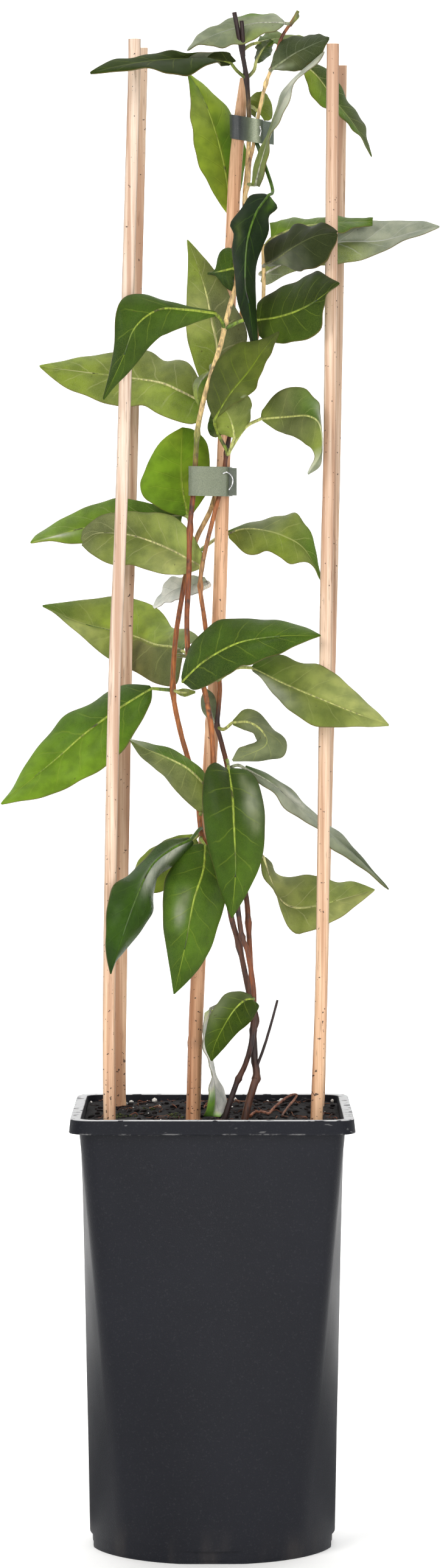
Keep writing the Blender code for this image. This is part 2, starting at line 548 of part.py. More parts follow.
def rounded_square(half, corner, height):
    """The points of a square with round corners: an arc at each corner, then the side after it."""
    centre = half - corner
    arcs = []
    for quarter in range(4):
        middle = Vector((centre * (1, -1, -1, 1)[quarter], centre * (1, 1, -1, -1)[quarter], height))
        angles = [math.radians(90) * (quarter + step / CORNER_STEPS) for step in range(CORNER_STEPS + 1)]
        arcs.append([middle + Vector((corner * math.cos(a), corner * math.sin(a), 0)) for a in angles])
    points = []
    for arc, following in zip(arcs, arcs[1:] + arcs[:1]):
        points += arc
        points += [arc[-1].lerp(following[0], step / SIDE_STEPS) for step in range(1, SIDE_STEPS)]
    return points


def circle(radius, height):
    """The points of a circle that match a rounded square's, those of each corner close together."""
    angles = []
    for quarter in range(4):
        middle = math.radians(90) * quarter + math.radians(45)
        first, last = middle - CREASE_SPREAD, middle + CREASE_SPREAD
        side = math.radians(90) - 2 * CREASE_SPREAD
        angles += [first + (last - first) * step / CORNER_STEPS for step in range(CORNER_STEPS + 1)]
        angles += [last + side * step / SIDE_STEPS for step in range(1, SIDE_STEPS)]
    return [Vector((radius * math.cos(a), radius * math.sin(a), height)) for a in angles]


def pot_section(height, inset=0.0):
    """The pot's outline at a height: square under the lip, round at the base, creased at its corners."""
    high = rounded_square(POT_HALF_TOP - inset, POT_CORNER_TOP - inset, height)
    low = circle(POT_HALF_BASE - inset, height)
    return [a.lerp(b, height / POT_HEIGHT) for a, b in zip(low, high)]


def add_pot(parts, cutters):
    bm = bmesh.new()
    lip_low = POT_HEIGHT - LIP_HEIGHT
    lip_under = POT_HEIGHT - LIP_TOP_THICKNESS
    outside = [pot_section(POT_HEIGHT * share) for share in OUTSIDE_RINGS]
    outside.append(pot_section(lip_low + LIP_TOP_THICKNESS))
    lip_inner = rounded_square(LIP_HALF + LIP_FLARE - POT_WALL, LIP_CORNER, lip_low)
    lip_outer = rounded_square(LIP_HALF + LIP_FLARE, LIP_CORNER, lip_low)
    lip_top = rounded_square(LIP_HALF, LIP_CORNER, POT_HEIGHT)
    under_lip = rounded_square(LIP_HALF - POT_WALL, LIP_CORNER, lip_under)
    neck = pot_section(lip_under)
    heights = [POT_HEIGHT, lip_low] + [POT_HEIGHT * share for share in INSIDE_RINGS] + [POT_FLOOR]
    inside = [pot_section(height, POT_WALL) for height in heights]
    rings = loft(bm, outside + [neck, under_lip, lip_inner, lip_outer, lip_top] + inside)
    bm.faces.new(reversed(rings[0]))
    bm.faces.new(rings[-1])
    bmesh.ops.triangulate(bm, faces=bm.faces, quad_method="SHORT_EDGE")
    pot = mesh_object("pot", bm, parts, "pot")
    for index in range(DRAIN_COUNT):
        angle = math.tau * index / DRAIN_COUNT
        place = (DRAIN_CIRCLE * math.cos(angle), DRAIN_CIRCLE * math.sin(angle), 0)
        bpy.ops.mesh.primitive_cylinder_add(
            vertices=DRAIN_SIDES, radius=DRAIN_RADIUS, depth=4 * POT_FLOOR, location=place
        )
        file_cutter(bpy.context.object, f"drain_{index}", cutters)
    size = 4 * POT_HALF_BASE
    for index in range(4):
        angle = math.tau * index / 4
        reach = BASE_NOTCH_HALF + size / 2
        bpy.ops.mesh.primitive_cube_add(
            size=size, location=(reach * math.cos(angle), reach * math.sin(angle), 0)
        )
        cube = bpy.context.object
        cube.scale.z = 2 * BASE_NOTCH_HEIGHT / size
        file_cutter(cube, f"notch_{index}", cutters)
    bpy.context.view_layer.update()
    cut_with(pot, cutters, "DIFFERENCE", "EXACT")


def file_cutter(cutter, name, cutters):
    cutter.name = name
    for held in list(cutter.users_collection):
        held.objects.unlink(cutter)
    cutters.objects.link(cutter)
    cutter.hide_render = True
    cutter.display_type = "WIRE"


def cut_with(thing, collection, operation, solver):
    """Joins or cuts a thing with all that a collection holds, applies it and empties the collection."""
    boolean = thing.modifiers.new("with_" + collection.name, "BOOLEAN")
    boolean.operand_type = "COLLECTION"
    boolean.collection = collection
    boolean.operation = operation
    boolean.solver = solver
    apply_modifiers(thing)
    for tool in list(collection.objects):
        bpy.data.objects.remove(tool, do_unlink=True)


def soil_height(x, y):
    """The compost's surface: lumpy, and a little higher towards the middle of the back."""
    place = Vector((x, y, 0))
    big, small = LUMPS_PER_METRE
    lumps = LUMP_SHARES[0] * noise.noise(place * big)
    lumps += LUMP_SHARES[1] * noise.noise(place * small + LUMP_SHIFT)
    hill = HILL_HEIGHT * math.exp(-((x / HILL_REACH) ** 2 + (y / HILL_REACH - 1) ** 2))
    return SOIL_TOP + hill + SOIL_RELIEF * lumps


def add_soil(parts, cutters):
    """Compost that fills the pot up to its lumpy top. The sticks and stems stand in holes in it."""
    bm = bmesh.new()
    inset = POT_WALL + GAP
    heights = [POT_FLOOR + GAP] + [POT_HEIGHT * share for share in SOIL_SIDE_RINGS]
    sides = [pot_section(height, inset) for height in heights]
    rim = pot_section(SOIL_TOP, inset)
    top_rings = []
    for ring in range(SOIL_RINGS):
        share = 1 - ring / SOIL_RINGS
        flat = [Vector((p.x * share, p.y * share, 0)) for p in rim]
        top_rings.append([Vector((p.x, p.y, soil_height(p.x, p.y))) for p in flat])
    rings = loft(bm, sides + top_rings)
    bm.faces.new(reversed(rings[0]))
    middle = bm.verts.new((0, 0, soil_height(0, 0)))
    inner = rings[-1]
    for i, corner in enumerate(inner):
        bm.faces.new((corner, inner[(i + 1) % len(inner)], middle))
    bmesh.ops.triangulate(bm, faces=bm.faces, quad_method="SHORT_EDGE")
    soil = mesh_object("soil", bm, parts, "soil")
    cut_with(soil, cutters, "DIFFERENCE", "MANIFOLD")


def lath_section(centre, facing, grow):
    """The outline of a split lath: flat at the back, with a round outer face."""
    half = LATH_WIDTH / 2 + grow
    thick = LATH_THICKNESS / 2 + grow
    return [centre + Vector((x * half, y * thick * facing, 0)) for x, y in LATH_OUTLINE]


def cane_section(centre, radius):
    turns = [math.tau * i / CANE_SIDES for i in range(CANE_SIDES)]
    return [centre + Vector((radius * math.cos(a), radius * math.sin(a), 0)) for a in turns]


def capped(name, rings, collection, look=None):
    bm = bmesh.new()
    made = loft(bm, rings)
    bm.faces.new(reversed(made[0]))
    bm.faces.new(made[-1])
    return mesh_object(name, bm, collection, look)


def stick_line(places, length_from_top):
    """A stick's centre line from its top, through its places, straight down into the pot."""
    line = smooth_line([seen(*place) for place in places], 2)
    foot = line[-1].copy()
    foot.xy *= FOOT_SHARE
    foot.z = line[0].z - length_from_top
    return line + [foot]


def hole_line(line):
    """The centre line of a stick's hole in the compost, which starts above it."""
    above, mouth, foot = line[-3:]
    rise = Vector(((above.x - mouth.x) * HOLE_RISE / (above.z - mouth.z), 0, HOLE_RISE))
    return [mouth + rise, mouth, foot - Vector((0, 0, GAP))]


def add_sticks(parts, cutters):
    for name, places in LATHS.items():
        facing = -1 if "front" in name else 1
        line = stick_line(places, STICK_LENGTH)
        capped(name, [lath_section(p, facing, 0) for p in line], parts, "lath")
        rings = [lath_section(p, facing, GAP) for p in hole_line(line)]
        capped(name + "_hole", rings, cutters).hide_render = True
    line = stick_line(CANE, STICK_LENGTH - CANE_TIP_LENGTH)
    lowest, highest = line[-1].z, line[0].z
    rings = []
    for point in line:
        share = (point.z - lowest) / (highest - lowest)
        radius = CANE_RADIUS_LOW + (CANE_RADIUS_TOP - CANE_RADIUS_LOW) * share
        rings.append(cane_section(point, radius))
    tip = seen(*CANE_TIP)
    middle = line[0].lerp(tip, CANE_TIP_MIDDLE)
    top = [cane_section(place, radius) for place, radius in zip((tip, middle), CANE_TIP_RADII)]
    capped("cane", top + rings, parts, "cane")
    rings = [cane_section(p, CANE_RADIUS_LOW + 2 * GAP) for p in hole_line(line)]
    capped("cane_hole", rings, cutters).hide_render = True


def tube(name, points, radii, collection, look=None, sides=1):
    """A tube as a curve with a bevel, made a closed mesh. sides is the curve's bevel resolution."""
    curve = bpy.data.curves.new(name, "CURVE")
    curve.dimensions = "3D"
    curve.bevel_depth = 1.0
    curve.bevel_resolution = sides
    curve.use_fill_caps = True
    spline = curve.splines.new("POLY")
    spline.points.add(len(points) - 1)
    for place, point, radius in zip(spline.points, points, radii):
        place.co = (*point, 1)
        place.radius = radius
    guide = bpy.data.objects.new(name + "_line", curve)
    collection.objects.link(guide)
    mesh = evaluated_mesh(guide)
    bpy.data.objects.remove(guide, do_unlink=True)
    bm = bmesh.new()
    bm.from_mesh(mesh)
    bmesh.ops.remove_doubles(bm, verts=bm.verts, dist=0.01 * MM)
    return mesh_object(name, bm, collection, look)


def stem_tube(name, stem, collection, grow=0.0, places=None):
    points = [seen(*place) for place in stem.line]
    count = len(points) - 1
    radii = []
    for index in range(len(points)):
        radius = stem.radii[0] + (stem.radii[1] - stem.radii[0]) * index / count
        swell = NODE_SWELL if index in stem.nodes else 1.0
        radii.append(radius * swell * MM + grow)
    last = places or len(points)
    return tube(name, points[:last], radii[:last], collection)


def blade_surface(leaf, phase):
    """The open surface of a leaf's blade, split into triangles."""
    middle = smooth_line([seen(*place) for place in leaf.midrib], 4)
    depths = [place[2] for place in leaf.midrib]

    def edge_line(edge, behind):
        places = []
        for index, (column, row) in enumerate(edge):
            share = index / (len(edge) - 1)
            spot = share * (len(depths) - 1)
            low = min(int(spot), len(depths) - 2)
            depth = depths[low] + (depths[low + 1] - depths[low]) * (spot - low)
            bulge = math.sin(math.pi * share) ** EDGE_FULLNESS if 0 < share < 1 else 0
            places.append(seen(column, row, depth + behind * bulge))
        return smooth_line(places, 4)

    left = edge_line(leaf.left, leaf.behind[0])
    right = edge_line(leaf.right, leaf.behind[1])
    bm = bmesh.new()
    rows = []
    for station in range(BLADE_STATIONS + 1):
        share = station / BLADE_STATIONS
        a, m, b = along(left, share), along(middle, share), along(right, share)
        ahead = along(middle, min(share + AHEAD, 1)) - along(middle, max(share - AHEAD, 0))
        normal = ahead.cross(b - a)
        normal = normal.normalized() if normal.length > 1e-9 else Vector((0, -1, 0))
        if normal.y > 0:
            normal.negate()
        wave = math.sin(math.tau * BLADE_WAVES * share + phase) * math.sin(math.pi * share)
        lift = BLADE_WAVE * wave
        left_half = a.lerp(m, 0.5) + normal * BLADE_BOW * (a - m).length
        right_half = m.lerp(b, 0.5) + normal * BLADE_BOW * (b - m).length
        rows.append([a + normal * lift, left_half, m, right_half, b - normal * lift])
    loft(bm, rows, closed=False)
    bmesh.ops.triangulate(bm, faces=bm.faces)
    return bm


def nearest_on(lines, place):
    """The point of these lines that lies nearest to a place."""
    best = None
    for line in lines:
        for a, b in zip(line, line[1:]):
            share = (place - a).dot(b - a) / (b - a).length_squared
            point = a.lerp(b, min(max(share, 0), 1))
            if best is None or (point - place).length < (best - place).length:
                best = point
    return best


def add_leaf(name, leaf, phase, stem_lines, collection):
    blade = mesh_object(name, blade_surface(leaf, phase), collection)
    solid = blade.modifiers.new("thickness", "SOLIDIFY")
    solid.thickness = BLADE_THICKNESS
    solid.offset = 0
    apply_modifiers(blade)
    ribs = smooth_line([seen(*place) for place in leaf.midrib], 2)
    stalk = [seen(*place) for place in leaf.stalk]
    stalk.insert(0, nearest_on(stem_lines, stalk[0]))
    if (stalk[1] - stalk[0]).length < SHORTEST_STALK:
        stalk.pop(1)
    reach = max(FEWEST_RIB_POINTS, int(len(ribs) * RIB_SHARE))
    line = stalk + ribs[:reach]
    thick, thin = STALK_TAPER
    shares = [i / (len(line) - 1) for i in range(len(line))]
    radii = [PETIOLE_RADIUS * (thick + (thin - thick) * share) for share in shares]
    tube(name + "_stalk", line, radii, collection)


def add_shoot(name, stems, leaves, parts, joined):
    stem_lines = [[seen(*place) for place in stem.line] for stem in stems.values()]
    for index, (leaf_name, leaf) in enumerate(leaves.items()):
        add_leaf(leaf_name, leaf, index * LEAF_PHASE, stem_lines, joined)
    stem_names = list(stems)
    for stem_name in stem_names[1:]:
        stem_tube(stem_name, stems[stem_name], joined)
    body = stem_tube(name, stems[stem_names[0]], parts)
    body.data.materials.append(material("plant"))
    bpy.context.view_layer.update()
    cut_with(body, joined, "UNION", "MANIFOLD")


def add_tie(name, tie, parts, joined):
    top, bottom = tie.rows
    middle = (top + bottom) / 2
    start = tie.loop[0][0]
    centres = [seen(c, middle + (c - start) * tie.drop, d) for c, d in tie.loop]
    loop = smooth_line(centres + [centres[0]], 2)[:-1]
    height = (bottom - top) / LENS_PIXELS * -CAMERA.y / 2
    centre = sum(loop, Vector()) / len(loop)
    bm = bmesh.new()
    rings = []
    for i, point in enumerate(loop):
        ahead = loop[(i + 1) % len(loop)] - loop[i - 1]
        out = Vector((ahead.y, -ahead.x, 0)).normalized()
        if out.dot(point - centre) < 0:
            out.negate()
        out *= TIE_THICKNESS / 2
        up = Vector((0, 0, height))
        rings.append([point - out - up, point + out - up, point + out + up, point - out + up])
    loft(bm, rings + [rings[0]])
    bmesh.ops.remove_doubles(bm, verts=bm.verts, dist=0.001 * MM)
    band = mesh_object(name, bm, parts, "tape")
    low, high = tie.flap
    corners = [seen(c, middle + (c - start) * tie.drop, tie.flap_depth) for c in (low, high)]
    bpy.ops.mesh.primitive_cube_add(size=1, location=(corners[0] + corners[1]) / 2)
    flap = bpy.context.object
    flap.scale = ((corners[1] - corners[0]).length, 2 * TIE_THICKNESS, 2 * FLAP_HEIGHT * height)
    flap.rotation_euler.y = math.atan(tie.drop)
    file_cutter(flap, name + "_flap", joined)
    bpy.context.view_layer.update()
    cut_with(band, joined, "UNION", "MANIFOLD")


def add_dry_root(parts):
    """A dead root that lies on the compost and arches up from it in one loop."""
    line = smooth_line([seen(*place) for place in DRY_ROOT], 2)
    for point in line:
        point.z = max(point.z, soil_height(point.x, point.y) + DRY_ROOT_RADIUS + DRY_ROOT_LIFT)
    tube("dry_root", line, [DRY_ROOT_RADIUS] * len(line), parts, "root")


def main():
    parts, cutters = start_scene()
    joined = bpy.data.collections.new("joined")
    bpy.context.scene.collection.children.link(joined)
    add_pot(parts, cutters)
    add_sticks(parts, cutters)
    for name, stem in (("left_hole", STEMS_A["main"]), ("right_hole", STEMS_B["base"])):
        stem_tube(name, stem, cutters, GAP, STEM_HOLE_POINTS).hide_render = True
    add_soil(parts, cutters)
    add_shoot("leafy_stem_left", STEMS_A, LEAVES_A, parts, joined)
    add_shoot("leafy_stem_right", STEMS_B, LEAVES_B, parts, joined)
    for name, tie in TIES.items():
        add_tie(name, tie, parts, joined)
    for name, places in STAPLES.items():
        line = smooth_line([seen(*place) for place in places], 3)
        tube(name, line, [STAPLE_RADIUS] * len(line), parts, "wire")
    add_dry_root(parts)


main()
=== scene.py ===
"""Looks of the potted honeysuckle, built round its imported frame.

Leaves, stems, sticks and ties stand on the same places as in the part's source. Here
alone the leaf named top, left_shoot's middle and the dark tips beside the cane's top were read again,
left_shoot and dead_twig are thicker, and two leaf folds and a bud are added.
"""

import math
import random
from collections import namedtuple

import bmesh
import bpy
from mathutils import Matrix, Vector, noise


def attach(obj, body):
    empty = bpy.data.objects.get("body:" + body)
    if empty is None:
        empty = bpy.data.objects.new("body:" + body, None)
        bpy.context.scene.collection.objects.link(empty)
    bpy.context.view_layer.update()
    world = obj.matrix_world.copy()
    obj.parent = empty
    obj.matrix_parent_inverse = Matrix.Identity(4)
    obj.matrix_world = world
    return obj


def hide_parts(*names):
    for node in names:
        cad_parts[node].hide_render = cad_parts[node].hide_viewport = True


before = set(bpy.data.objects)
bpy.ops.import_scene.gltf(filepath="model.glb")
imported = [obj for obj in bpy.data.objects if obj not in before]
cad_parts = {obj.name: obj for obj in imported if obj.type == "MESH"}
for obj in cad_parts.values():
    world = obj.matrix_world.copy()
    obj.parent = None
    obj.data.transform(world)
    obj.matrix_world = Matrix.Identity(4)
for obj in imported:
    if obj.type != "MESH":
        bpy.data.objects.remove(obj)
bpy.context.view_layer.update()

MM = 0.001

# Where the photograph was taken from
PICTURE_HEIGHT = 2576
PICTURE_CENTRE = (361.5, 1288.0)
LENS_PIXELS = 7790
CAMERA = Vector((0.00356, -2.22, 0.4244))
CAMERA_PITCH = math.radians(1.75)
SENSOR = 36
VIEW_REACH = 20

# Pot, soil, sticks and small goods, as in the part's source
POT_HEIGHT = 205 * MM
POT_HALF_TOP = 61.5 * MM
POT_HALF_BASE = 57.5 * MM
POT_CORNER_TOP = 8 * MM
POT_WALL = 1.2 * MM
POT_FLOOR = 1.6 * MM
LIP_HALF = 65 * MM
LIP_FLARE = 0.6 * MM
LIP_HEIGHT = 6.5 * MM
LIP_CORNER = 10 * MM
BASE_NOTCH_HALF = 55.7 * MM
BASE_NOTCH_HEIGHT = 6 * MM
DRAIN_RADIUS = 4.5 * MM
DRAIN_CIRCLE = 36 * MM
DRAIN_COUNT = 8
GAP = 0.3 * MM
SOIL_TOP = 199.2 * MM
SOIL_RELIEF = 1.6 * MM
LUMPS_PER_METRE = (90, 210)
LUMP_SHARES = (0.65, 0.35)
LUMP_SHIFT = Vector((3, 1, 5))
HILL_HEIGHT = 1.5 * MM
HILL_REACH = 30 * MM
STICK_LENGTH = 600 * MM
LATH_WIDTH = 5.7 * MM
LATH_THICKNESS = 3.6 * MM
CANE_RADIUS_LOW = 3.5 * MM
CANE_RADIUS_TOP = 3.0 * MM
CANE_TIP_LENGTH = 26 * MM
FOOT_SHARE = 0.85
TIE_THICKNESS = 0.7 * MM
STAPLE_RADIUS = 0.35 * MM
DRY_ROOT_RADIUS = 0.6 * MM

# Blades: their divisions, bow, waves and veins. SMALL_WAVE is the small wave's height, number and
# phase against the large one's. The depths of the midrib and the side veins are in mm, the midrib's
# reach is a share of the half blade, and the side veins' a share of the gap between two of them.
STATIONS = 44
ACROSS = 8
LINE_STEPS = 8
SHEET_THICKNESS = 0.45 * MM
EDGE_FULLNESS = 0.6
BLADE_BOW = 0.10
BLADE_WAVE = 0.9 * MM
BLADE_WAVES = 2.5
SMALL_WAVE = (0.5, 2.3, 2.1)
LEAF_PHASE = 1.7
SIDE_VEINS = 7
VEIN_LEAN = 0.16
RIB_DEPTH, RIB_REACH = 0.22, 0.07
VEIN_DEPTH, VEIN_REACH = 0.16, 0.13
RELIEF_START = 4 * MM
THINNEST = 0.002 * MM
FAR_ROUGHNESS = 0.45
FAR_SHARE = 0.25
LIGHTEST = 0.9

# Stems and stalks, with radii in mm, and the bumps of their skin per metre
BUMPS_PER_METRE = 600
STEM_STEPS = 4
STEM_SIDES = 12
STALK_SIDES = 8
STALK_STEPS = 6
NODE_SWELL = 0.45
NODE_REACH = 1.3 * MM
SHORTEST_STALK = 2 * MM
RIB_SHARE = 0.8
STALK_RADIUS, STALK_TAPER = 0.95, 0.2
RIB_RADIUS, RIB_TAPER = 0.68, 0.4

# Pot, finer than the solid: points on each corner and each side, its creases, the count of rings
# below its lip, and how far all are out of true. OUTSIDE_HEIGHTS and INSIDE_HEIGHTS are shares of
# the pot's height.
POT_ARC = 10
POT_SIDE = 16
CREASE_SPREAD = math.radians(4)
QUARTER = math.radians(90)
OUTSIDE_HEIGHTS = (0.1, 0.25, 0.4, 0.55, 0.7, 0.82, 0.93)
INSIDE_HEIGHTS = (0.7, 0.4)
NOTCH_HEIGHTS = (0.0, 0.4 * MM, 3 * MM, BASE_NOTCH_HEIGHT)
NOTCH_STEP = 0.05 * MM
LIP_MARGIN = 1.5 * MM
LIP_EDGE = 0.35 * MM
BASE_SHRINK = 0.995
OUTSIDE_RINGS = 14
OUT_OF_TRUE = 0.12 * MM
WAVES_PER_METRE = 35
INSIDE_SHIFT = 7.1
DRAIN_SIDES = 24

# Compost and what lies on it, with the least and most of each size in mm. Perlite grains are (column,
# row, size in mm), and moss is (column, row, spread in mm, tufts).
SEED = 11
SOIL_FINE_RINGS = 40
BACK_RISE = 2.4 * MM
BACK_REACH = 50 * MM
SOIL_SIDE_HEIGHTS = (0.4 * POT_HEIGHT, 0.7 * POT_HEIGHT)
CRUMBS_PER_METRE = (700, 1500)
CRUMB_SHARES = (0.5, 0.3)
CRUMB_RISE = 0.9 * MM
CRUMB_LIFT = 0.3
EDGE_MARGIN = 3 * MM
CHIPS = 420
CHIP_SIZE = (0.5, 1.5)
FIBRES = 170
FIBRE_MARGIN = 2 * MM
FIBRE_LENGTH = (3, 10)
FIBRE_RISE = (0.1, 1.3)
FIBRE_RADIUS = (0.1, 0.32)
FIBRE_TONES = ("plum", "bark", "bark", (110, 66, 48), (134, 92, 70))
FINE_GRAINS = 60
FINE_GRAIN_SIZE = (0.15, 0.45)
PERLITE = [(254, 1817, 1.3), (216, 1812, 0.8), (205, 1824, 0.7), (242, 1817, 0.6), (387, 1815, 1.1),
    (461, 1815, 0.8), (546, 1806, 0.9), (262, 1826, 0.5), (440, 1815, 0.5), (150, 1822, 0.4)]
PERLITE_GROWTH = 1.25
TUFT_SIZE = (0.25, 0.7)
MOSS = [(200, 1835, 2.2, 26), (245, 1829, 1.2, 10), (288, 1835, 1.6, 16), (296, 1839, 1.4, 12)]

# Sticks: painted shade round a lath, tints, darker and warmer tones towards the soil, and nodes in mm from
# the top
LATH_PAINTED_SHADE = (0.8, 0.8, 0.6, 0.62, 0.8, 0.93, 1, 1, 1, 1, 1, 0.93, 0.8, 0.62, 0.6)
LATH_TINTS = {"lath_front_left": (1.04, 1.12, 1.22), "lath_front_right": (1, 1.02, 1.03)}
LATH_LOW_TONE = (1.04, 0.9, 0.74)
CANE_LOW_TONE = (0.72, 0.6, 0.52)
LOW_TONE_REACH = 0.2
STICK_STEPS = 10
FOOT_STEPS = 12
LATH_ARC = 10
LATH_SWELL, LATH_SWELL_REACH = 0.12 * MM, 3 * MM
LATH_WOBBLE, LATH_WOBBLES_PER_METRE = 0.05 * MM, 60
LATH_NODES = {"lath_front_left": (62, 420), "lath_front_right": (178, 425), "lath_back_left": (250,),
    "lath_back_right": (310,)}
CANE_NODES = (281, 120, 430)
CANE_SIDES = 20
CANE_RING, CANE_RING_REACH = 0.35 * MM, 1.1 * MM
CANE_GROOVE, CANE_GROOVE_REACH, CANE_GROOVE_RISE = 0.25 * MM, 1.2 * MM, 2.5 * MM
# The cane's slanted tip, as (share of the way down to the full cane, radius in mm)
CANE_TIP_SHAPE = ((0, 1.3), (0.25, 1.8), (0.6, 2.4))

# Ties
TAPE_ROWS = 6
FLAP_STEPS = 8
FLAP_HEIGHT = 0.93
TAPE_CREASE = 0.25 * MM
CREASES_PER_METRE = Vector((160, 160, 420))
# Tones round each loop from its left end; the pale sixth tone of tie_upper is a painted highlight where the
# tape bulges over a stem.
TIE_TONES_AND_HIGHLIGHT = {
    "tie_upper": [(92, 96, 98), (82, 86, 88), (78, 82, 84), (98, 106, 98), (122, 132, 110),
        (188, 196, 170), (108, 120, 100), (90, 102, 88), (84, 96, 84), (84, 96, 84), (84, 96, 84),
        (80, 90, 82), (84, 96, 84), (84, 96, 84)],
    "tie_lower": [(100, 108, 92), (124, 132, 110), (112, 120, 98), (100, 108, 90), (94, 102, 84),
        (76, 84, 68), (74, 82, 70), (84, 92, 78)],
}

# Stage in metres: the floor's outline, the black cards beside and behind the pot, and the lights as
# (place, target, size, power, tint)
FLOOR_HALF = 4
FLOOR_GLOW = 0.26
FLOOR_FRONT, FLOOR_BACK = -3.2, 1.2
BACKDROP_CURVE, BACKDROP_STEPS = 0.9, 12
BACKDROP_TOP = 3.2
CARD_ACROSS = (0.07, 0.3)
CARD_BACK = (0.02, 0.42)
PLANT_MIDDLE = (0, 0, 0.4)
WHITE = (1, 1, 1)
LIGHTS = {
    "key": ((-1.2, -1.8, 1.7), PLANT_MIDDLE, (0.9, 1.2), 34, (1, 0.985, 0.95)),
    "fill": ((1.4, -1.7, 0.9), PLANT_MIDDLE, (0.9, 1.6), 17, (1, 0.99, 0.98)),
    "front": ((0.1, -2.6, 0.7), PLANT_MIDDLE, (1.4, 1.0), 16, WHITE),
    "top": ((0, 0.3, 2.2), PLANT_MIDDLE, (1.8, 1.2), 17, WHITE),
    "left_edge": ((-1.5, 0.75, 0.7), PLANT_MIDDLE, (0.7, 1.9), 4, WHITE),
    "right_edge": ((1.5, 0.75, 0.7), PLANT_MIDDLE, (0.7, 1.9), 4, WHITE),
    "behind": ((0.0, 1.0, 1.9), (0, 2.0, 0.5), (2.8, 0.8), 30, WHITE),
}
# Inputs of the world's ramp: the directions' Y where it starts and ends, and its brightness at each
WORLD_RAMP = {1: -0.25, 2: 0.9, 3: 0.25, 4: 0.8}

# The leaves that are joined as the low group of their shoot
LOW_LEAVES = {"right_low", "centre_curl", "centre_node", "right_twisted_low", "front_hanging",
    "right_low_light", "low_small", "left_behind_laths", "left_node_bit", "left_low_big",
    "left_folded_low", "front_dark", "front_second", "left_hanging", "left_light_behind", "low_silver"}


def seen(column, row, depth):
    """The world point on the sight line through a place in the picture, at world Y = depth mm."""
    forward = Vector((0, math.cos(CAMERA_PITCH), -math.sin(CAMERA_PITCH)))
    up = Vector((0, math.sin(CAMERA_PITCH), math.cos(CAMERA_PITCH)))
    right = Vector((1, 0, 0))
    ray = (
        forward
        + right * ((column - PICTURE_CENTRE[0]) / LENS_PIXELS)
        - up * ((row - PICTURE_CENTRE[1]) / LENS_PIXELS)
    )
    return CAMERA + ray * ((depth * MM - CAMERA.y) / ray.y)


# A leaf: the places that its stalk grows through from a stem and its blade's midrib from base to tip,
# as (column, row, depth), the outlines of its halves on the left and on the right of a walker from
# base to tip, and the depth in mm by which each edge lies behind the midrib at its widest.
Leaf = namedtuple("Leaf", "stalk midrib left right behind")

# A stem: its centre line as (column, row, depth), its radii in mm at the start and the end, and
# the indices of the points where it has a node.
Stem = namedtuple("Stem", "line radii nodes")

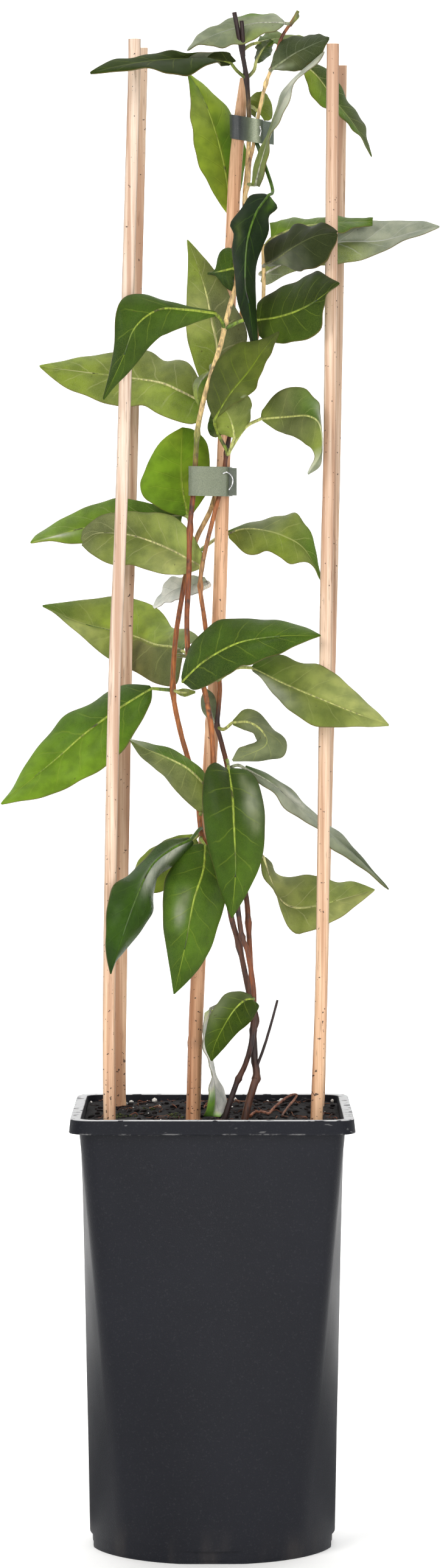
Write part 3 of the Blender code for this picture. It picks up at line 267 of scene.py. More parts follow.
# Leaves on the shoot that rises from the stem at the left (A)
LEAVES_A = {
    "top": Leaf([(474, 38, -14)],
        [(468, 38, -15), (423, 39, -14), (380, 49, -15), (340, 64, -20), (308, 83, -26)],
        [(466, 42), (452, 52), (425, 57), (403, 73), (364, 76), (330, 74), (308, 84)],
        [(467, 34), (450, 22), (425, 25), (377, 29), (345, 48), (325, 58), (307, 82)],
        (-6, 9)),
    "top_right": Leaf([(444, 116, -14)],
        [(448, 113, -16), (481, 91, -22), (511, 76, -27), (541, 63, -30)],
        [(446, 107), (455, 74), (476, 63), (497, 58), (522, 57), (541, 61)],
        [(452, 115), (481, 117), (504, 110), (520, 96), (532, 80), (541, 65)],
        (10, -4)),
    "far_right_top": Leaf([(446, 114, -10), (475, 102, 0)],
        [(502, 108, 6), (524, 130, 10), (548, 165, 14), (580, 205, 10), (611, 257, 2)],
        [(508, 100), (534, 112), (560, 145), (585, 182), (600, 215), (611, 256)],
        [(499, 120), (510, 152), (528, 172), (556, 190), (584, 214), (602, 244), (610, 258)],
        (8, -8)),
    "twisted_right": Leaf([(408, 303, -14)],
        [(420, 304, -19), (429, 270, -26), (444, 222, -31), (469, 160, -34), (494, 123, -33),
          (533, 85, -32)],
        [(413, 304), (417, 278), (424, 255), (440, 222), (449, 200), (456, 182), (464, 158),
          (477, 134), (496, 118), (516, 102), (533, 84)],
        [(427, 307), (432, 292), (436, 268), (442, 246), (448, 222), (459, 200), (466, 182),
          (474, 160), (488, 134), (501, 121), (520, 106), (534, 85)],
        (10, -6)),
    "centre_dark": Leaf([(420, 226, -12), (434, 268, -16), (448, 312, -24)],
        [(441, 321, -30), (420, 352, -38), (406, 400, -44), (403, 466, -46), (410, 505, -44),
          (421, 596, -38)],
        [(447, 327), (456, 342), (442, 356), (442, 378), (432, 405), (421, 440), (421, 500),
          (424, 555), (423, 596)],
        [(430, 318), (411, 321), (398, 340), (378, 369), (384, 385), (381, 410), (386, 455),
          (390, 495), (405, 540), (420, 597)],
        (6, 6)),
    "right_upper": Leaf([(433, 437, -12)],
        [(437, 434, -20), (454, 426, -28), (489, 403, -40), (520, 388, -48), (553, 383, -54)],
        [(436, 430), (437, 399), (474, 381), (491, 367), (510, 372), (528, 366), (545, 372), (555, 380)],
        [(444, 438), (466, 436), (489, 445), (523, 439), (540, 420), (552, 400), (555, 386)],
        (10, -6)),
    "right_bright": Leaf([(433, 432, -8), (436, 405, -6)],
        [(445, 392, -4), (490, 374, 0), (555, 366, 8), (612, 364, 10)],
        [(443, 366), (480, 360), (530, 358), (575, 359), (613, 357)],
        [(450, 402), (500, 392), (540, 384), (580, 376), (612, 371)],
        (14, -8)),
    "right_silver": Leaf([(431, 446, -10), (427, 450, -4)],
        [(430, 452, -2), (490, 422, 4), (555, 399, 10), (625, 397, 12), (678, 383, 8), (722, 372, 0)],
        [(434, 440), (490, 395), (571, 372), (625, 362), (660, 362), (690, 363), (722, 371)],
        [(428, 462), (440, 468), (484, 445), (555, 434), (600, 423), (630, 415), (665, 396), (722, 374)],
        (8, -8)),
    "centre_olive": Leaf([(374, 742, -20), (358, 712, -26)],
        [(352, 690, -34), (380, 646, -40), (410, 610, -46), (436, 572, -48), (459, 546, -46)],
        [(348, 684), (340, 655), (344, 628), (353, 604), (372, 576), (395, 562), (425, 560), (458, 544)],
        [(358, 686), (376, 670), (411, 647), (426, 624), (440, 590), (459, 548)],
        (8, -2)),
    "centre_small": Leaf([(376, 745, -20)],
        [(385, 719, -26), (382, 700, -30), (374, 680, -34), (360, 662, -36)],
        [(380, 718), (360, 712), (352, 702), (352, 688), (358, 662)],
        [(392, 718), (404, 700), (412, 688), (411, 655), (395, 648), (362, 660)],
        (4, 6)),
    "right_curl": Leaf([(376, 742, -20), (402, 703, -24)],
        [(429, 688, -28), (473, 685, -36), (508, 684, -50), (526, 700, -54), (528, 742, -53),
          (506, 779, -50)],
        [(431, 674), (447, 653), (465, 640), (495, 636), (514, 652), (526, 668), (529, 720),
          (528, 762), (507, 780)],
        [(432, 692), (457, 709), (484, 718), (502, 730), (512, 738), (516, 752), (505, 777)],
        (5, 2)),
    "left_olive": Leaf([(329, 963, -20)],
        [(330, 930, -16), (308, 918, -12), (282, 904, -6), (244, 888, 2), (208, 878, 8),
          (160, 876, 12), (136, 890, 12)],
        [(326, 936), (295, 945), (257, 940), (219, 930), (183, 927), (152, 912), (134, 896)],
        [(333, 909), (313, 874), (284, 848), (244, 841), (208, 841), (165, 848), (138, 868), (133, 886)],
        (-8, 3)),
    "left_small_silver": Leaf([(332, 968, -14), (344, 962, -4)],
        [(342, 956, 0), (318, 962, 4), (285, 972, 6), (252, 998, 8)],
        [(344, 962), (319, 976), (290, 984), (254, 1000)],
        [(336, 948), (310, 946), (281, 950), (262, 975), (251, 996)],
        (-6, 6)),
    "right_mid": Leaf([(332, 902, -16), (345, 892, -4), (360, 882, 6)],
        [(375, 877, 8), (398, 870, 8), (429, 871, 6), (467, 882, 2), (500, 903, -2), (527, 952, -6)],
        [(374, 872), (403, 860), (434, 855), (462, 848), (485, 841), (500, 859), (515, 889), (528, 950)],
        [(376, 884), (403, 909), (423, 908), (445, 908), (474, 924), (508, 925), (526, 953)],
        (8, -8)),
    "right_low": Leaf([(360, 1116, -20), (388, 1098, -28)],
        [(413, 1097, -32), (467, 1124, -42), (530, 1150, -54), (590, 1174, -58), (639, 1192, -56)],
        [(419, 1089), (457, 1076), (487, 1087), (525, 1091), (551, 1109), (582, 1134), (612, 1162),
          (639, 1190)],
        [(416, 1104), (429, 1114), (451, 1142), (472, 1165), (500, 1183), (531, 1194), (575, 1195),
          (638, 1193)],
        (8, -6)),
    "centre_curl": Leaf([(357, 1194, -20), (368, 1198, -22)],
        [(382, 1187, -26), (410, 1187, -34), (433, 1204, -40), (434, 1226, -40), (382, 1249, -36)],
        [(384, 1182), (402, 1166), (425, 1170), (453, 1202), (471, 1220), (466, 1243), (440, 1249),
          (383, 1251)],
        [(384, 1192), (402, 1200), (417, 1206), (421, 1218), (394, 1228), (381, 1248)],
        (6, 4)),
    "centre_node": Leaf([(357, 1192, -18)],
        [(350, 1184, -17), (344, 1162, -16), (338, 1132, -16)],
        [(343, 1182), (332, 1168), (330, 1148), (337, 1131)],
        [(353, 1182), (357, 1165), (352, 1142), (339, 1131)],
        (3, 3)),
    "right_twisted_low": Leaf([(374, 1263, -22), (390, 1257, -24)],
        [(402, 1262, -26), (447, 1289, -26), (484, 1322, -22), (521, 1350, -16), (545, 1373, -12),
          (592, 1415, -12), (639, 1461, -16)],
        [(404, 1257), (443, 1273), (489, 1309), (519, 1337), (544, 1359), (591, 1404), (639, 1460)],
        [(402, 1268), (430, 1290), (455, 1306), (478, 1336), (522, 1365), (545, 1390), (593, 1426),
          (638, 1462)],
        (10, -10)),
    "front_hanging": Leaf([(374, 1250, -22)],
        [(376, 1266, -30), (382, 1310, -42), (385, 1368, -48), (387, 1432, -50), (381, 1508, -46)],
        [(382, 1262), (407, 1266), (425, 1289), (435, 1330), (435, 1370), (433, 1398), (425, 1429),
          (406, 1468), (382, 1508)],
        [(370, 1262), (353, 1253), (338, 1266), (332, 1304), (334, 1342), (341, 1388), (351, 1424),
          (364, 1470), (380, 1508)],
        (6, 6)),
    "right_low_light": Leaf([(388, 1440, -24), (402, 1412, -26), (420, 1400, -24)],
        [(433, 1408, -22), (445, 1448, -22), (465, 1483, -22), (498, 1492, -20), (560, 1478, -18),
          (616, 1462, -18)],
        [(437, 1408), (447, 1420), (454, 1433), (470, 1440), (519, 1439), (555, 1448), (585, 1450),
          (616, 1461)],
        [(428, 1412), (434, 1442), (453, 1470), (462, 1500), (484, 1531), (501, 1532), (542, 1518),
          (584, 1488), (615, 1464)],
        (10, -6)),
    "low_small": Leaf([(418, 1640, -26)],
        [(415, 1642, -29), (402, 1644, -32), (385, 1659, -35), (368, 1686, -37), (353, 1717, -37),
          (348, 1743, -36)],
        [(418, 1646), (426, 1652), (421, 1664), (411, 1680), (390, 1697), (373, 1717), (349, 1743)],
        [(412, 1634), (392, 1629), (370, 1633), (358, 1647), (344, 1671), (336, 1712), (346, 1742)],
        (4, 6)),
    "centre_fold": Leaf([(352, 600, -24)],
        [(346, 610, -24), (331, 625, -25), (324, 645, -24), (329, 669, -22)],
        [(340, 610), (322, 622), (317, 636), (319, 652), (327, 670)],
        [(352, 612), (344, 632), (340, 650), (336, 662), (330, 671)],
        (0, 2)),
    "centre_wing": Leaf([(362, 676, -28)],
        [(360, 684, -28), (358, 694, -27), (354, 706, -26), (350, 718, -26)],
        [(346, 680), (343, 690), (341, 704), (345, 715)],
        [(374, 684), (376, 700), (368, 712), (355, 719)],
        (2, 2)),
}

# Leaves on the shoots that rise from the stem at the right (B)
LEAVES_B = {
    "cane_top_light": Leaf([(399, 84, -8), (411, 74, -6)],
        [(424, 70, -4), (445, 66, 0), (470, 63, 4), (500, 62, 6)],
        [(424, 66), (430, 58), (450, 54), (480, 58), (500, 60)],
        [(426, 74), (440, 76), (465, 72), (500, 65)],
        (8, -6)),
    "cane_top_folded": Leaf([(406, 127, -9), (417, 116, -9)],
        [(420, 104, -9), (426, 90, -9), (434, 78, -7), (446, 66, -4)],
        [(418, 104), (420, 88), (424, 72), (444, 64)],
        [(426, 104), (438, 96), (447, 84), (449, 68)],
        (4, 8)),
    "left_long_top": Leaf([(402, 128, -9), (390, 117, -14)],
        [(379, 103, -18), (325, 97, -30), (260, 100, -48), (205, 108, -60), (148, 120, -64)],
        [(376, 108), (364, 108), (354, 104), (309, 121), (276, 121), (227, 114), (149, 122)],
        [(388, 100), (380, 92), (372, 86), (325, 85), (260, 88), (211, 94), (179, 102), (148, 118)],
        (-6, 10)),
    "left_backlit": Leaf([(404, 372, 2), (392, 362, 6)],
        [(380, 350, 8), (366, 262, 10), (345, 190, 10), (325, 145, 8), (308, 120, 6)],
        [(372, 350), (351, 319), (332, 280), (319, 241), (314, 202), (314, 163), (308, 122)],
        [(388, 348), (400, 290), (402, 240), (382, 187), (358, 163), (332, 137), (310, 120)],
        (-6, 8)),
    "tie_rounded": Leaf([(409, 174, -4), (415, 176, 4)],
        [(422, 182, 8), (430, 174, 9), (434, 160, 9), (432, 150, 8)],
        [(420, 194), (410, 184), (409, 164), (420, 152), (431, 150)],
        [(434, 198), (446, 196), (448, 180), (444, 164), (433, 150)],
        (6, 6)),
    "left_dark_small": Leaf([(388, 469, -16), (392, 448, -14)],
        [(383, 441, -14), (370, 444, -15), (356, 447, -15), (341, 450, -14)],
        [(385, 448), (384, 478), (368, 470), (355, 454), (341, 451)],
        [(383, 434), (382, 410), (368, 408), (358, 422), (354, 444), (341, 448)],
        (2, 3)),
    "right_dark": Leaf([(368, 541, -20), (400, 526, -22)],
        [(424, 526, -24), (454, 522, -32), (486, 512, -42), (517, 496, -50), (558, 465, -56)],
        [(422, 510), (425, 495), (454, 478), (494, 457), (523, 446), (538, 454), (557, 464)],
        [(424, 540), (430, 556), (454, 563), (489, 562), (520, 548), (533, 506), (538, 484), (558, 467)],
        (12, -4)),
    "left_tall_light": Leaf([(352, 604, -16), (348, 612, -12)],
        [(344, 620, -10), (356, 575, -12), (348, 529, -12), (337, 475, -9), (322, 429, -5),
          (308, 394, -2)],
        [(338, 622), (328, 621), (314, 581), (306, 541), (306, 495), (309, 437), (307, 395)],
        [(352, 622), (380, 600), (404, 565), (403, 535), (388, 506), (365, 460), (351, 443),
          (328, 414), (309, 394)],
        (-2, 3)),
    "left_folded": Leaf([(368, 540, -20), (364, 526, -24)],
        [(354, 515, -28), (305, 509, -38), (260, 509, -47), (222, 538, -54), (201, 590, -56),
          (170, 656, -54)],
        [(353, 520), (330, 527), (305, 536), (276, 548), (255, 560), (219, 604), (193, 630), (171, 657)],
        [(353, 511), (305, 502), (273, 495), (237, 483), (208, 486), (190, 512), (186, 581), (169, 654)],
        (6, 3)),
    "left_light": Leaf([(340, 650, -18), (336, 656, -12)],
        [(330, 660, -8), (295, 642, -4), (264, 629, 2), (219, 622, 8), (142, 612, 10), (65, 602, 6)],
        [(328, 668), (323, 694), (295, 693), (259, 680), (231, 666), (193, 666), (147, 654),
          (104, 634), (66, 604)],
        [(330, 645), (326, 621), (312, 598), (295, 591), (270, 591), (244, 578), (185, 580),
          (142, 584), (106, 593), (65, 600)],
        (-6, 10)),
    "left_ovate": Leaf([(312, 862, -18), (311, 854, -14)],
        [(308, 845, -6), (300, 800, 2), (298, 752, 6), (300, 702, 8)],
        [(300, 848), (270, 840), (238, 818), (230, 795), (239, 772), (254, 739), (272, 718), (299, 702)],
        [(316, 846), (336, 815), (344, 790), (344, 749), (338, 724), (318, 706), (301, 702)],
        (4, 4)),
    "left_outer": Leaf([(312, 862, -18), (309, 850, -12)],
        [(300, 846, 4), (249, 852, 22), (188, 858, 28), (120, 872, 28), (50, 892, 24)],
        [(298, 862), (249, 880), (188, 890), (130, 892), (75, 890), (51, 893)],
        [(298, 838), (249, 828), (188, 818), (140, 835), (104, 853), (65, 874), (50, 890)],
        (-6, 8)),
    "left_behind_laths": Leaf([(310, 1078, -4), (307, 1074, 8)],
        [(301, 1070, 14), (283, 1063, 24), (255, 1059, 38), (222, 1046, 52), (179, 1035, 62),
          (128, 1022, 68), (70, 995, 68)],
        [(300, 1078), (290, 1122), (260, 1124), (230, 1109), (200, 1094), (170, 1076), (122, 1036),
          (89, 1007), (70, 997)],
        [(305, 1062), (326, 1047), (306, 1034), (283, 1031), (262, 1002), (222, 985), (179, 980),
          (110, 989), (70, 994)],
        (-2, 8)),
    "left_node_bit": Leaf([(284, 1134, -8)],
        [(290, 1136, -10), (303, 1138, -12), (321, 1137, -12)],
        [(291, 1133), (305, 1131), (321, 1135)],
        [(290, 1139), (303, 1145), (321, 1139)],
        (3, 3)),
    "left_low_big": Leaf([(284, 1134, -8)],
        [(250, 1131, -8), (196, 1164, -4), (140, 1205, 0), (97, 1243, 0), (51, 1281, -4),
          (2, 1321, -10)],
        [(250, 1140), (246, 1158), (219, 1210), (190, 1243), (160, 1268), (133, 1284), (92, 1302),
          (51, 1313), (3, 1322)],
        [(246, 1126), (220, 1124), (199, 1126), (176, 1136), (153, 1156), (110, 1174), (80, 1204),
          (46, 1251), (24, 1290), (1, 1320)],
        (-8, 10)),
    "left_folded_low": Leaf([(327, 1340, -16), (340, 1310, -20)],
        [(338, 1292, -22), (310, 1264, -24), (281, 1248, -26), (245, 1232, -26), (214, 1216, -24)],
        [(336, 1300), (332, 1335), (293, 1304), (270, 1276), (255, 1264), (230, 1241), (214, 1218)],
        [(340, 1284), (334, 1266), (309, 1246), (281, 1229), (255, 1223), (214, 1214)],
        (8, 8)),
    "front_dark": Leaf([(312, 1092, -14), (304, 1108, -22)],
        [(300, 1120, -28), (334, 1088, -34), (378, 1062, -40), (413, 1051, -44), (467, 1045, -48),
          (527, 1044, -50)],
        [(298, 1112), (308, 1070), (324, 1047), (349, 1027), (372, 1017), (421, 1016), (467, 1022),
          (505, 1032), (527, 1043)],
        [(304, 1124), (321, 1134), (352, 1121), (393, 1096), (413, 1093), (454, 1075), (492, 1058),
          (527, 1045)],
        (10, -2)),
    "front_second": Leaf([(330, 1378, -18)],
        [(337, 1389, -24), (334, 1430, -32), (318, 1480, -38), (305, 1550, -40), (286, 1633, -36)],
        [(345, 1388), (366, 1420), (372, 1470), (358, 1524), (340, 1570), (317, 1604), (287, 1633)],
        [(328, 1386), (304, 1394), (285, 1420), (270, 1450), (267, 1500), (271, 1542), (280, 1600),
          (285, 1633)],
        (8, 4)),
    "left_hanging": Leaf([(328, 1362, -18)],
        [(314, 1379, -26), (280, 1396, -36), (248, 1424, -46), (222, 1480, -56), (199, 1545, -60),
          (182, 1600, -58)],
        [(318, 1386), (300, 1410), (263, 1438), (255, 1460), (250, 1495), (240, 1517), (217, 1550),
          (189, 1580), (183, 1600)],
        [(308, 1376), (270, 1382), (240, 1408), (210, 1438), (189, 1453), (176, 1490), (173, 1537),
          (176, 1575), (181, 1600)],
        (10, 2)),
    "left_light_behind": Leaf([(328, 1366, -14)],
        [(322, 1376, -12), (290, 1398, -10), (250, 1425, -8), (212, 1462, -8)],
        [(326, 1384), (320, 1420), (290, 1450), (250, 1468), (213, 1464)],
        [(316, 1370), (290, 1374), (250, 1392), (222, 1425), (211, 1460)],
        (-4, 6)),
    "low_silver": Leaf([(405, 1640, -10), (372, 1646, -10)],
        [(346, 1657, -12), (341, 1700, -14), (345, 1744, -16), (351, 1780, -16), (353, 1810, -16),
          (350, 1834, -16)],
        [(352, 1660), (352, 1700), (350, 1744), (358, 1772), (366, 1792), (372, 1809), (369, 1824),
          (362, 1835)],
        [(336, 1664), (333, 1700), (341, 1740), (345, 1766), (346, 1786), (342, 1812), (337, 1827),
          (334, 1834)],
        (8, -6)),
}

# Stems of the shoot at the left (A): the main one climbs through both ties to the top twig
STEMS_A = {
    "main": Stem([(352, 1975, -19), (358, 1900, -21), (369, 1839, -23), (385, 1790, -23),
        (392, 1772, -23), (403, 1749, -24), (412, 1719, -26), (415, 1690, -26), (417, 1660, -25),
        (416, 1620, -24), (407, 1564, -24), (398, 1540, -24), (392, 1501, -22), (386, 1440, -20),
        (384, 1370, -20), (380, 1310, -20), (374, 1263, -20), (364, 1220, -19), (357, 1194, -18),
        (359, 1164, -18), (361, 1123, -18), (352, 1085, -18), (341, 1050, -18), (335, 1010, -19),
        (329, 963, -20), (334, 920, -19), (344, 876, -18), (357, 826, -16), (366, 790, -15),
        (372, 744, -16), (377, 718, -16), (395, 650, -13), (415, 580, -11), (428, 530, -10),
        (433, 483, -10), (433, 437, -10), (431, 402, -10), (418, 360, -12), (403, 329, -14),
        (408, 303, -14), (410, 268, -13), (416, 241, -12), (426, 182, -11), (437, 137, -12),
        (445, 115, -13), (455, 85, -13), (464, 59, -13), (480, 35, -14), (490, 18, -14)],
        (1.35, 0.8), (4, 11, 18, 24, 29, 38, 43)),
    "bud": Stem([(476, 42, -14), (483, 34, -14), (488, 27, -14), (487, 21, -14)], (1.0, 0.5), (2,)),
}

# Stems of the shoot at the right (B), with a dead twig and the pruned tips beside the cane's top
STEMS_B = {
    "base": Stem([(398, 1975, -20), (399, 1900, -21), (402, 1839, -22), (417, 1784, -21),
        (421, 1772, -20), (421, 1756, -20), (418, 1740, -19), (417, 1715, -18), (416, 1692, -18),
        (421, 1678, -18), (418, 1662, -18), (411, 1640, -17)], (1.9, 1.5), (4, 8)),
    "left_shoot": Stem([(416, 1655, -18), (409, 1630, -17), (393, 1554, -19), (381, 1511, -24),
        (370, 1450, -27), (358, 1380, -28), (352, 1300, -28), (350, 1240, -27), (346, 1187, -27),
        (335, 1130, -27), (322, 1100, -25), (310, 1078, -22), (307, 1017, -20), (310, 953, -20),
        (312, 871, -19), (317, 815, -18), (321, 761, -18), (324, 713, -20), (329, 682, -23),
        (338, 644, -27), (352, 601, -27), (363, 565, -23), (370, 534, -20), (380, 495, -18),
        (388, 469, -16), (394, 430, -13), (398, 385, -11)], (1.35, 1.15), (2, 14, 17, 22)),
    "back_shoot": Stem([(417, 1660, -17), (413, 1620, -12), (412, 1588, -11), (408, 1516, -11),
        (405, 1477, -11), (394, 1430, -12), (370, 1402, -14), (342, 1388, -16), (331, 1370, -16),
        (327, 1335, -14), (320, 1290, -12), (308, 1243, -10), (296, 1200, -9), (284, 1134, -8),
        (288, 1055, -6), (293, 1017, -5), (302, 963, -4), (306, 943, -3), (322, 887, -1),
        (343, 845, 1), (351, 822, 3), (360, 790, 4), (369, 740, 4), (379, 660, 5),
        (390, 570, 5), (398, 510, 5), (404, 440, 5), (404, 380, 6), (402, 330, 4),
        (407, 268, 0), (409, 230, -3), (409, 190, -4), (405, 129, -10), (394, 67, -20),
        (385, 20, -23)], (1.3, 1.1), (3, 13, 32)),
    "pruned_tip": Stem([(400, 92, -16), (399, 60, -22), (397, 34, -23)], (1.0, 1.0), ()),
    "dead_twig": Stem([(420, 1757, -20), (434, 1720, -21), (446, 1680, -20), (456, 1643, -18)],
        (0.75, 0.6), ()),
}

# Sticks: the centre line of each as (column, row, depth), top to soil
LATHS = {
    "lath_front_left": [(221, 64, -40), (219, 174, -40), (200, 815, -41), (190, 1062, -41),
        (184, 1292, -42), (179, 1657, -42), (180, 1842, -42)],
    "lath_front_right": [(547, 72, -40), (542, 696, -41), (536, 979, -41), (529, 1574, -42),
        (520, 1842, -42)],
    "lath_back_left": [(233, 79, 40), (231, 174, 40), (215, 815, 40), (208, 1062, 40),
        (198, 1657, 42), (197, 1801, 42)],
    "lath_back_right": [(560, 108, 40), (557, 348, 40), (548, 824, 40), (537, 1279, 41),
        (524, 1801, 42)],
}
CANE = [(394, 200, 1), (384, 325, 0), (368, 739, -3), (360, 1004, -5), (348, 1202, -6),
    (325, 1606, -9), (317, 1842, -10)]
CANE_TIP = (399, 128, 2)

# Ties: the loop of the tape as (column, depth) seen at its middle row, the rows of its two edges at
# the loop's left end, how far the tape drops to the right, and the flap's columns and depth
Tie = namedtuple("Tie", "loop rows drop flap flap_depth")
TIES = {
    "tie_upper": Tie([(379, 1), (383, -3), (394, -3.4), (404, -7), (413, -14.6), (421, -15.6),
        (428, -14), (431, -10), (423, -8), (416, 0), (408, 5.6), (394, 6.2), (383, 5)],
        (188, 227), 0.17, (427, 450), -12),
    "tie_lower": Tie([(311, -19), (315, -22), (330, -21), (350, -20), (366, -19.6), (374, -18),
        (380, -10), (380, -1), (374, 5), (360, 8.2), (347, 6), (330, -8), (314, -15)],
        (766, 814), 0.02, (371, 389), -17),
}
STAPLES = {
    "tie_upper_staple": [(427, 207, -16.6), (429, 215, -16.4), (427, 224, -16.6)],
    "tie_lower_staple": [(366, 778, -21), (373, 776, -20.6), (381, 783, -19), (382, 794, -19),
        (376, 805, -20.2)],
}
DRY_ROOT = [(411, 1835, 2), (418, 1828, 12), (430, 1830, 12), (441, 1831, 10), (450, 1820, 14),
    (468, 1805, 22), (482, 1798, 26), (487, 1801, 27), (474, 1818, 20), (466, 1829, 12),
    (464, 1837, 4)]

# Leaf and stem colours, red, green and blue from 0 to 255
TONES = {
    "navy": (32, 56, 40), "bottle": (36, 62, 24), "deep": (56, 88, 22), "leaf": (76, 110, 26),
    "bright": (104, 138, 32), "lime": (150, 172, 60), "backlit": (124, 144, 42),
    "olive": (118, 132, 56), "dull": (98, 106, 64), "slate": (70, 84, 44), "grey": (128, 138, 106),
    "silver": (158, 164, 146), "white": (214, 216, 208), "sheen": (154, 170, 88),
    "umber": (112, 108, 62), "pale": (176, 184, 110), "cream": (206, 206, 148),
    "plum": (46, 30, 30), "bark": (84, 52, 38), "rust": (130, 72, 38), "copper": (160, 98, 52),
    "tan": (160, 124, 82), "straw": (232, 204, 148), "moss": (124, 134, 62),
}

# How each leaf looks: the tones of its left and right halves from base to tip, among them painted sheen
# and backlight, its vein's tone, the far side's tone, the camera side's roughness, a gain that paints it
# lighter or darker than its tones, partly as painted light and shade, and patches as (share, side,
# size, tone), some of them painted highlights.
Look = namedtuple("Look", "left right vein far rough gain patches")


def look(left, right, vein="pale", far="leaf", rough=0.42, gain=1.0, patches=()):
    return Look(left.split(), right.split(), vein, far, rough, gain, patches)


# The leaves of which the photograph sees the underside
UNDERSIDES = {"top", "top_right", "far_right_top", "twisted_right", "right_upper", "right_silver",
    "centre_olive", "centre_small", "centre_fold", "centre_wing", "left_small_silver", "right_mid",
    "centre_curl", "centre_node", "right_twisted_low", "low_small", "left_long_top", "tie_rounded",
    "left_ovate", "left_folded_low", "low_silver"}

